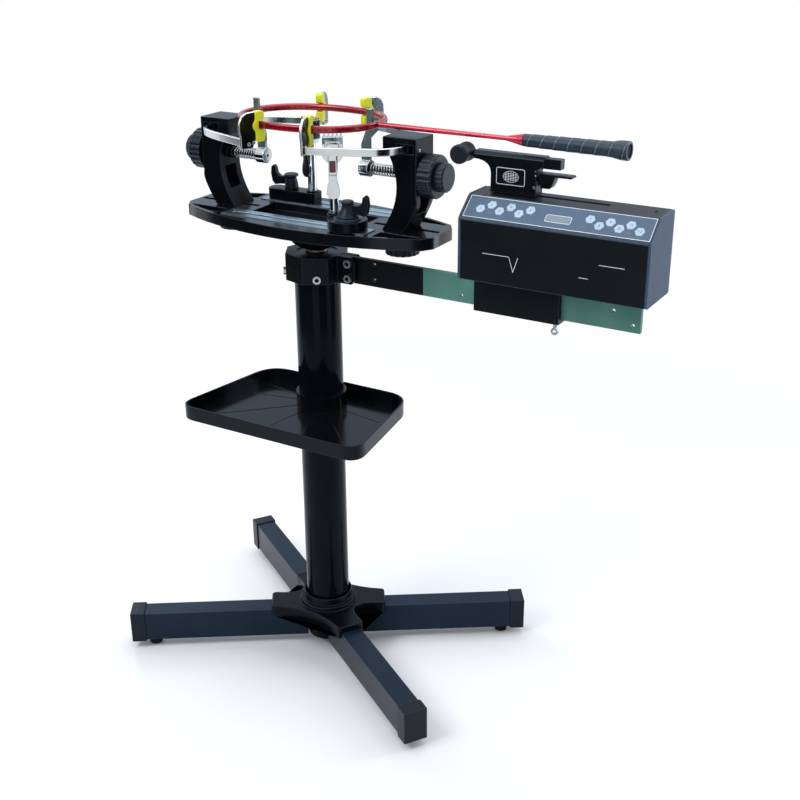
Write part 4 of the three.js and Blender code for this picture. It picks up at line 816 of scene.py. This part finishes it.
headLook = {
    "panel": (164.7, 3.5, 453.6, 42.5), "outline": 1.0, "keyRadius": 7.6, "keyFoot": 0.2, "keyHeight": 0.5,
    "keyRim": 0.9, "keyDome": 0.25, "keyEdge": 0.15, "numberHeight": 0.97, "numberSize": 6.0,
    "numberDepth": 0.06,
    "leftKeys": [(188.2, 20), (203.9, 29), (219.2, 20), (234.9, 29), (250.4, 20), (266.1, 28.5)],
    "rightKeys": [(359.0, 27), (374.9, 18), (389.4, 26.5), (404.8, 17.8), (419.9, 26.2), (435.2, 17.5)],
    "redMarks": [(204.2, 15.5), (250.6, 33.5), (374.4, 32.8), (419.4, 12.6)], "markReach": 2.6,
    "markFoot": -0.6, "markPeak": 0.8, "markHeight": 0.4, "stroke": 0.8, "lineHeight": 0.2,
    "display": (312.4, 19.5), "displaySize": (40, 13), "displayCorner": 3.0, "rim": 0.9,
    "layers": {"panel": (0.02, 0.25), "outline": (0.05, 0.4), "display": (0.1, 0.35), "rim": (0.1, 0.55)},
    "frontLines": [[(200.8, 819.1), (243.4, 819.1), (250.5, 797.0), (257.7, 819.1)],
                   [(383.6, 827.6), (421.1, 827.6)], [(354.2, 804.9), (367.5, 804.9)]],
}
slopeUp = (slopeHead - slopeFoot).normalized()
slopeOut = Vector((1, 0, 0)).cross(slopeUp)
slopeTurn = Matrix((Vector((1, 0, 0)), slopeUp, slopeOut)).transposed().to_4x4()
onSlope = Matrix.Translation(slopeFoot) @ slopeTurn
onFront = Matrix.Translation((0, slopeFoot.y, 0)) @ Matrix.Rotation(math.pi / 2, 4, "X")


def plateOn(name, place, corners, layer, rounding=0.0, line=0.0):
    # With a line width, only a frame of that width is left of the plate
    (left, low, right, high), (bottom, top) = corners, layer
    piece = block(name, (left, low, bottom), (right, high, top))
    if rounding:
        with editing(piece, "EDGE"):
            pickEdges(lambda edge: abs(edge.verts[0].co.z - edge.verts[1].co.z) > 1e-6)
            bpy.ops.mesh.bevel(offset=rounding * mm, segments=6, affect="EDGES")
    if line:
        hollowed(piece, line * mm)
    settle(piece, place)
    return piece


def lineOn(name, place, points, width, height):
    strokes = []
    for i in range(len(points) - 1):
        start, end = Vector(points[i]), Vector(points[i + 1])
        along = end - start
        stroke = block(f"{name}_{i}", (0, -width / 2, 0), (along.length + width, width / 2, height))
        foot = start - along.normalized() * width / 2
        settle(stroke, Matrix.Translation(Vector((*foot, 0)) * mm)
               @ Matrix.Rotation(math.atan2(along.y, along.x), 4, "Z"))
        strokes.append(stroke)
    piece = joined(name, strokes)
    settle(piece, place)
    return piece


def numberOn(name, words, place, size):
    curve = bpy.data.curves.new(name, "FONT")
    curve.body = words
    curve.size = size * mm
    curve.align_x = curve.align_y = "CENTER"
    curve.extrude = headLook["numberDepth"] * mm
    curve.resolution_u = 3
    piece = meshFrom(name, curve)
    with editing(piece):
        bpy.ops.mesh.select_all(action="SELECT")
        bpy.ops.mesh.remove_doubles(threshold=0.001 * mm)
    settle(piece, place)
    return piece


def makeKey(number, x, up):
    look = headLook
    low, high = look["keyFoot"] * mm, (look["keyFoot"] + look["keyHeight"]) * mm
    key = cylinder(f"head_key_{number}", look["keyRadius"] * mm, low, high, segments=6)
    with editing(key):
        pickFaces(lambda face: face.normal.z > 0.9)
        bpy.ops.mesh.inset(thickness=look["keyRim"] * mm)
        bpy.ops.transform.translate(value=(0, 0, look["keyDome"] * mm))
    place = onSlope @ Matrix.Translation((x * mm, up * mm, 0))
    settle(key, place @ Matrix.Rotation(math.pi / 6, 4, "Z"))
    softened(key, look["keyEdge"] * mm, 1)
    fitted(key, keyPale, "head_housing")
    printed = numberOn(f"head_key_number_{number}", str(number),
                       place @ Matrix.Translation((0, 0, look["numberHeight"] * mm)), look["numberSize"])
    fitted(printed, printBlue, "head_housing")


def makeHeadFace():
    look, layers = headLook, headLook["layers"]
    panel = plateOn("head_panel", onSlope, look["panel"], layers["panel"])
    fitted(panel, panelGrey, "head_housing")
    edge = plateOn("head_panel_outline", onSlope, look["panel"], layers["outline"], line=look["outline"])
    fitted(edge, printWhite, "head_housing")
    for i, (x, up) in enumerate(look["leftKeys"] + look["rightKeys"]):
        makeKey(i + 1, x, up)
    for i, (x, up) in enumerate(look["redMarks"]):
        reach, foot = look["markReach"], up + look["markFoot"]
        tick = [(x - reach, foot), (x, up + look["markPeak"]), (x + reach, foot)]
        mark = lineOn(f"head_red_mark_{i + 1}", onSlope, tick, look["stroke"], look["markHeight"])
        fitted(mark, printRed, "head_housing")
    (x, up), (width, height) = look["display"], look["displaySize"]
    box = (x - width / 2, up - height / 2, x + width / 2, up + height / 2)
    glass = plateOn("head_display", onSlope, box, layers["display"], look["displayCorner"])
    fitted(glass, displayGlass, "head_housing")
    rim = plateOn("head_display_rim", onSlope, box, layers["rim"], look["displayCorner"], look["rim"])
    fitted(rim, printWhite, "head_housing")
    for i, points in enumerate(look["frontLines"]):
        line = lineOn(f"head_front_line_{i + 1}", onFront, points, look["stroke"], look["lineHeight"])
        fitted(line, printWhite, "head_housing")


makeHeadFace()
print("tension head dressed")


# Screws and bolts. Places are in millimetres, and all but the head's count from the column's axis

screwLook = {
    "sizes": {"head_top_screw": (2.2, 0.5), "mast_clamp_bolt": (6.8, 5.5), "mast_cheek_bolt": (6.9, 6.0),
              "spindle_nose_screw": (4.6, 0.8), "holder_screw": (3.0, 1.3), "holder_pad_screw": (2.2, 0.7),
              "rail_screw": (2.3, 0.6), "bracket_screw": (2.6, 0.6), "tower_screw": (2.6, 0.7),
              "gripper_screw": (1.9, 0.8)},
    "socket": 0.5, "socketDepth": 0.6, "edge": 0.2,
    "headTop": [(179.1, 2.5), (438.9, 2.5)], "mastBolts": (303, 210), "mastFace": 51.0, "mastLevel": 724,
    "cheekBolts": (750.4, 725.0), "cheekAlong": 71.0, "cheekFace": -13.3,
    "railAlong": 132.5, "railAcross": 10.5, "railTop": 822.03, "bracketCorner": (5.5, 7.0),
    "tower": (207.0, -17.5, 949.0),
}


def socketScrew(kind, mark, place, node, finish=boltSteel):
    radius, height = screwLook["sizes"][kind]
    screw = cylinder(kind + mark, radius * mm, 0, height * mm, segments=24)
    socket = radius * screwLook["socket"]
    with editing(screw):
        pickFaces(lambda face: face.normal.z > 0.9)
        bpy.ops.mesh.inset(thickness=(radius - socket) * mm)
        depth = height * screwLook["socketDepth"] * mm
        bpy.ops.mesh.extrude_region_move(TRANSFORM_OT_translate={"value": (0, 0, -depth)})
    softened(screw, min(screwLook["edge"], height * 0.3) * mm)
    smoothed(screw)
    settle(screw, place)
    fitted(screw, finish, node)
    # The socket's walls and floor are darkHole: painted shade in the recess
    back = place.inverted()
    addFinish(screw, darkHole, lambda centre, normal: (back @ centre).xy.length < socket * 1.02 * mm
              and near < (back @ centre).z < height * mm - near)


def facing(point, normal):
    turn = Vector(normal).to_track_quat("Z", "Y").to_matrix().to_4x4()
    return Matrix.Translation(Vector(point) * mm) @ turn


for i, (x, y) in enumerate(screwLook["headTop"]):
    socketScrew("head_top_screw", f"_{i + 1}", facing((x, y, slopeHead.z / mm), (0, 0, 1)),
                "head_housing", darkHole)
for i, degrees in enumerate(screwLook["mastBolts"]):
    out = Vector((math.cos(math.radians(degrees)), math.sin(math.radians(degrees)), 0))
    foot = Vector((axisX, 0, screwLook["mastLevel"])) + out * screwLook["mastFace"]
    socketScrew("mast_clamp_bolt", f"_{i + 1}", facing(foot, out), "mast_clamp")
for i, level in enumerate(screwLook["cheekBolts"]):
    spot = (axisX + screwLook["cheekAlong"], screwLook["cheekFace"], level)
    socketScrew("mast_cheek_bolt", f"_{i + 1}", facing(spot, (0, -1, 0)), "mast_clamp")
for side, out in sideSign.items():
    low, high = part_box(f"spindle_{side}")
    nose = low.x if out > 0 else high.x
    inward = (-out, 0, 0)
    socketScrew("spindle_nose_screw", f"_{side}", facing((nose / mm, 0, mountingLook["axisLevel"]), inward),
                f"spindle_{side}")
    for row in rowSign:
        holder, arm = holderFrame(side, row), f"side_arm_{side}_{row}"
        face = mountingLook["holderFace"] * out
        for i, (across, up) in enumerate(mountingLook["holderScrews"]):
            place = holder @ facing((-face, across, up), inward)
            socketScrew("holder_screw", f"_{side}_{row}_{i + 1}", place, arm)
        across, up = mountingLook["padScrew"]
        place = holder @ facing((face, across, up), (out, 0, 0))
        socketScrew("holder_pad_screw", f"_{side}_{row}", place, arm, darkHole)
for row, sign in rowSign.items():
    for i, (x, y) in enumerate([(-1, -1), (-1, 1), (1, -1), (1, 1)]):
        spot = (axisX + x * screwLook["railAlong"],
                sign * (mountingLook["railAcross"] + y * screwLook["railAcross"]), screwLook["railTop"])
        socketScrew("rail_screw", f"_{row}_{i + 1}", facing(spot, (0, 0, 1)), f"rail_{row}", springSteel)
low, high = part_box("head_bracket")
along, up = screwLook["bracketCorner"]
spot = (high.x / mm - along, low.y / mm, low.z / mm + up)
socketScrew("bracket_screw", "", facing(spot, (0, -1, 0)), "head_bracket", knobPlastic)
along, across, up = screwLook["tower"]
for side, out in sideSign.items():
    socketScrew("tower_screw", f"_{side}", facing((axisX + out * along, across, up), (out, 0, 0)),
                f"tower_{side}")
print("screws in place")


# String clamps: the window and band of each lever, and the rings at the posts' feet

# Rings: radius, foot above the base, height. Window and band: two corners, with levels from the table
clampLook = {
    "posts": {"rear": (-43, 56.25, -15), "front": (71, -50, 30)}, "postRadius": 7.6, "baseTop": 20.8,
    "collar": (10.4, -0.4, 2.6), "ring": (8.1, 5.0, 1.6), "edge": 0.3, "bandEdge": 0.4,
    "window": ((-4.6, -10.5, 89), (4.6, -9.3, 107)), "band": ((-6.1, -13.8, 83.5), (6.1, -12.6, 86)),
}


def clampFrame(row):
    along, across, degrees = clampLook["posts"][row]
    foot = Vector((axisX + along, across, mountingLook["tableTop"])) * mm
    return Matrix.Translation(foot) @ Matrix.Rotation(math.radians(degrees), 4, "Z")


def chamferedBlock(name, corners, width, place, finish, node):
    piece = block(name, *corners)
    settle(piece, place)
    softened(piece, width * mm)
    smoothed(piece)
    fitted(piece, finish, node)


def ringOnPost(kind, row, place, finish, node):
    radius, above, height = clampLook[kind]
    foot = (clampLook["baseTop"] + above) * mm
    ring = cylinder(f"clamp_post_{kind}_{row}", radius * mm, foot, foot + height * mm)
    hollowed(ring, (radius - clampLook["postRadius"]) * mm)
    settle(ring, place)
    softened(ring, clampLook["edge"] * mm)
    smoothed(ring)
    fitted(ring, finish, node)


for row in rowSign:
    place, lever, look = clampFrame(row), f"string_clamp_lever_{row}", clampLook
    chamferedBlock(f"lever_window_{row}", look["window"], look["edge"], place, windowRed, lever)
    chamferedBlock(f"lever_band_{row}", look["band"], look["bandEdge"], place, brushedSteel, lever)
    ringOnPost("collar", row, place, castPaint, f"string_clamp_base_{row}")
    ringOnPost("ring", row, place, brushedSteel, f"string_clamp_head_{row}")
print("string clamps dressed")


# Gripper: a framed sign with a plain string bed on it, two dots and a screw

# The heights are those of the sign's upright strings, level strings and rim. Dot: radius, foot, top
gripperLook = {
    "face": -8.0, "frame": (193.4, 911.2, 240.0, 936.4), "layer": (-0.05, 0.2), "corner": 3.0, "line": 0.9,
    "sign": (217.2, 923.8), "halfWidth": 12.4, "halfHeight": 8.3, "strings": (4.1, 2.31), "string": 0.5,
    "heights": (0.14, 0.16, 0.18), "rimSteps": 36, "screw": (255.0, 912.0),
    "dots": [(256.2, 935.6, printRed), (256.8, 929.6, printWhite)], "dot": (0.9, -0.2, 0.3), "dotEdge": 0.12,
}
onGripper = Matrix.Translation((0, gripperLook["face"] * mm, 0)) @ Matrix.Rotation(math.pi / 2, 4, "X")


def makeGripperSign():
    look = gripperLook
    border = plateOn("gripper_frame", onGripper, look["frame"], look["layer"], look["corner"], look["line"])
    fitted(border, printWhite, "gripper_body")
    (x, z), wide, high = look["sign"], look["halfWidth"], look["halfHeight"]
    strokes, (uprightTop, levelTop, rimTop) = [], look["heights"]
    for i in range(-2, 3):
        aside, up = look["strings"][0] * i, look["strings"][1] * i
        reach = high * math.sqrt(1 - (aside / wide) ** 2)
        spread = wide * math.sqrt(1 - (up / high) ** 2)
        upright = [(x + aside, z - reach), (x + aside, z + reach)]
        level = [(x - spread, z + up), (x + spread, z + up)]
        strokes.append(lineOn(f"gripper_sign_upright_{i}", onGripper, upright, look["string"], uprightTop))
        strokes.append(lineOn(f"gripper_sign_level_{i}", onGripper, level, look["string"], levelTop))
    turns = [2 * math.pi * i / look["rimSteps"] for i in range(look["rimSteps"] + 1)]
    rim = [(x + wide * math.cos(turn), z + high * math.sin(turn)) for turn in turns]
    strokes.append(lineOn("gripper_sign_rim", onGripper, rim, look["line"], rimTop))
    fitted(joined("gripper_sign", strokes), printWhite, "gripper_body")
    radius, foot, top = look["dot"]
    for i, (x, z, finish) in enumerate(look["dots"]):
        dot = cylinder(f"gripper_dot_{i + 1}", radius * mm, foot * mm, top * mm, "Z", (x * mm, z * mm), 16)
        settle(dot, onGripper)
        softened(dot, look["dotEdge"] * mm)
        fitted(dot, finish, "gripper_body")
    x, z = look["screw"]
    place = onGripper @ Matrix.Translation((x * mm, z * mm, 0))
    socketScrew("gripper_screw", "", place, "gripper_body")


makeGripperSign()
print("gripper dressed")


# Stage, light and camera

stageLook = {"floorSize": 14, "floorAt": (0.2, 1.2, -0.0005), "fadeAt": -0.14, "fadeFrom": 0.75,
             "fadeTo": 1.9}


def makeStage():
    bpy.ops.mesh.primitive_plane_add(size=stageLook["floorSize"], location=stageLook["floorAt"])
    floor = named("floor")
    settle(floor)
    finish = Finish("floorPale")
    finish.set(baseColor=tone("f4f5f6"), roughness=0.75, specularIORLevel=0.2)
    x, y = finish.along()[:2]
    aside = x - stageLook["fadeAt"]
    far = (aside * aside + y * y).apply("SQRT").between(stageLook["fadeFrom"], stageLook["fadeTo"])
    glow = finish.node("ShaderNodeEmission", {}, {"Color": (1, 1, 1, 1), "Strength": 1.0})
    mix = finish.node("ShaderNodeMixShader", {}, {0: far * finish.seenBackground(),
                                                  1: finish.shader.outputs[0], 2: glow.outputs[0]})
    finish.feed(finish.output.inputs["Surface"], mix.outputs[0])
    floor.data.materials.append(finish.material)


def makeScreen(name, start, end, radius=1.7, low=0.0, high=1.15, glow=(0.004, 0.005, 0.006)):
    # A dark or pale studio screen that only reflections show, so that gloss and plating have their contrast
    bpy.ops.mesh.primitive_plane_add(size=1)
    screen = named(name)
    with editing(screen):
        bpy.ops.mesh.subdivide(number_cuts=12)
    for vertex in screen.data.vertices:
        turn = math.radians(start + (end - start) * (vertex.co.x + 0.5))
        up = low + (high - low) * (vertex.co.y + 0.5)
        vertex.co = (axisX * mm + radius * math.cos(turn), radius * math.sin(turn), up)
    finish = Finish(name)
    finish.set(baseColor=(0, 0, 0, 1), specularIORLevel=0.0, emissionColor=(*glow, 1), emissionStrength=1.0)
    screen.data.materials.append(finish.material)
    for kind in ("camera", "diffuse", "shadow", "transmission"):
        setattr(screen, f"visible_{kind}", False)


def makeWorld():
    world = bpy.data.worlds.new("studio")
    bpy.context.scene.world = world
    world.use_nodes = True
    studio = Nodes(world.node_tree)
    soft = studio.node("ShaderNodeBackground", {}, {"Color": (0.93, 0.96, 1.0, 1), "Strength": 0.6})
    white = studio.node("ShaderNodeBackground", {}, {"Color": (1, 1, 1, 1), "Strength": 1.0})
    mix = studio.node("ShaderNodeMixShader", {}, {0: studio.seenBackground(), 1: soft.outputs[0],
                                                  2: white.outputs[0]})
    studio.node("ShaderNodeOutputWorld", {}, {"Surface": mix.outputs[0]})


def makeLamp(name, place, target, size, power, colour):
    lamp = bpy.data.lights.new(name, "AREA")
    lamp.shape = "RECTANGLE"
    lamp.size, lamp.size_y = size
    lamp.energy = power
    lamp.color = colour
    holder = linked(name, lamp)
    holder.location = place
    holder.rotation_euler = (Vector(target) - Vector(place)).to_track_quat("-Z", "Y").to_euler()


cameraLook = {"place": (0.9850, -1.6272, 1.3338), "azimuth": 30.66, "pitch": 23.24, "roll": -0.38,
              "lens": 55.08}


def makeCamera():
    azimuth, pitch, roll = (math.radians(cameraLook[key]) for key in ("azimuth", "pitch", "roll"))
    ahead = Vector((-math.sin(azimuth) * math.cos(pitch), math.cos(azimuth) * math.cos(pitch),
                    -math.sin(pitch)))
    right = Vector((math.cos(azimuth), math.sin(azimuth), 0))
    up = right.cross(ahead)
    rolledRight = right * math.cos(roll) + up * math.sin(roll)
    rolledUp = up * math.cos(roll) - right * math.sin(roll)
    view = Matrix((rolledRight, rolledUp, -ahead)).transposed().to_4x4()
    data = bpy.data.cameras.new("photoCamera")
    data.lens = cameraLook["lens"]
    data.sensor_width = 36
    data.clip_start, data.clip_end = 0.05, 40
    camera = linked("photoCamera", data)
    camera.matrix_world = Matrix.Translation(cameraLook["place"]) @ view
    bpy.context.scene.camera = camera


makeStage()
makeWorld()
makeScreen("screenLeft", -165, -84)
makeScreen("screenMiddle", -52, -15)
makeScreen("screenRight", 7, 34)
makeScreen("screenBack", 88, 168, low=0.4, high=1.75, glow=(0.58, 0.68, 0.82))
makeLamp("keySoftbox", (-1.0, -1.9, 2.6), (-0.05, 0, 0.6), (1.4, 1.4), 40, (0.96, 0.98, 1))
makeLamp("topSoftbox", (0.0, 0.3, 2.8), (0, 0, 0.6), (1.8, 1.8), 26, (0.96, 0.98, 1))
makeLamp("rightStrip", (1.3, 1.15, 0.95), (-0.05, 0, 0.6), (0.5, 1.7), 12, (0.76, 0.87, 1))
makeLamp("leftStrip", (-1.7, 0.9, 1.1), (-0.05, 0, 0.6), (0.4, 1.6), 10, (0.82, 0.9, 1))
makeCamera()
bpy.context.scene.view_settings.view_transform = "Standard"
print("stage set")
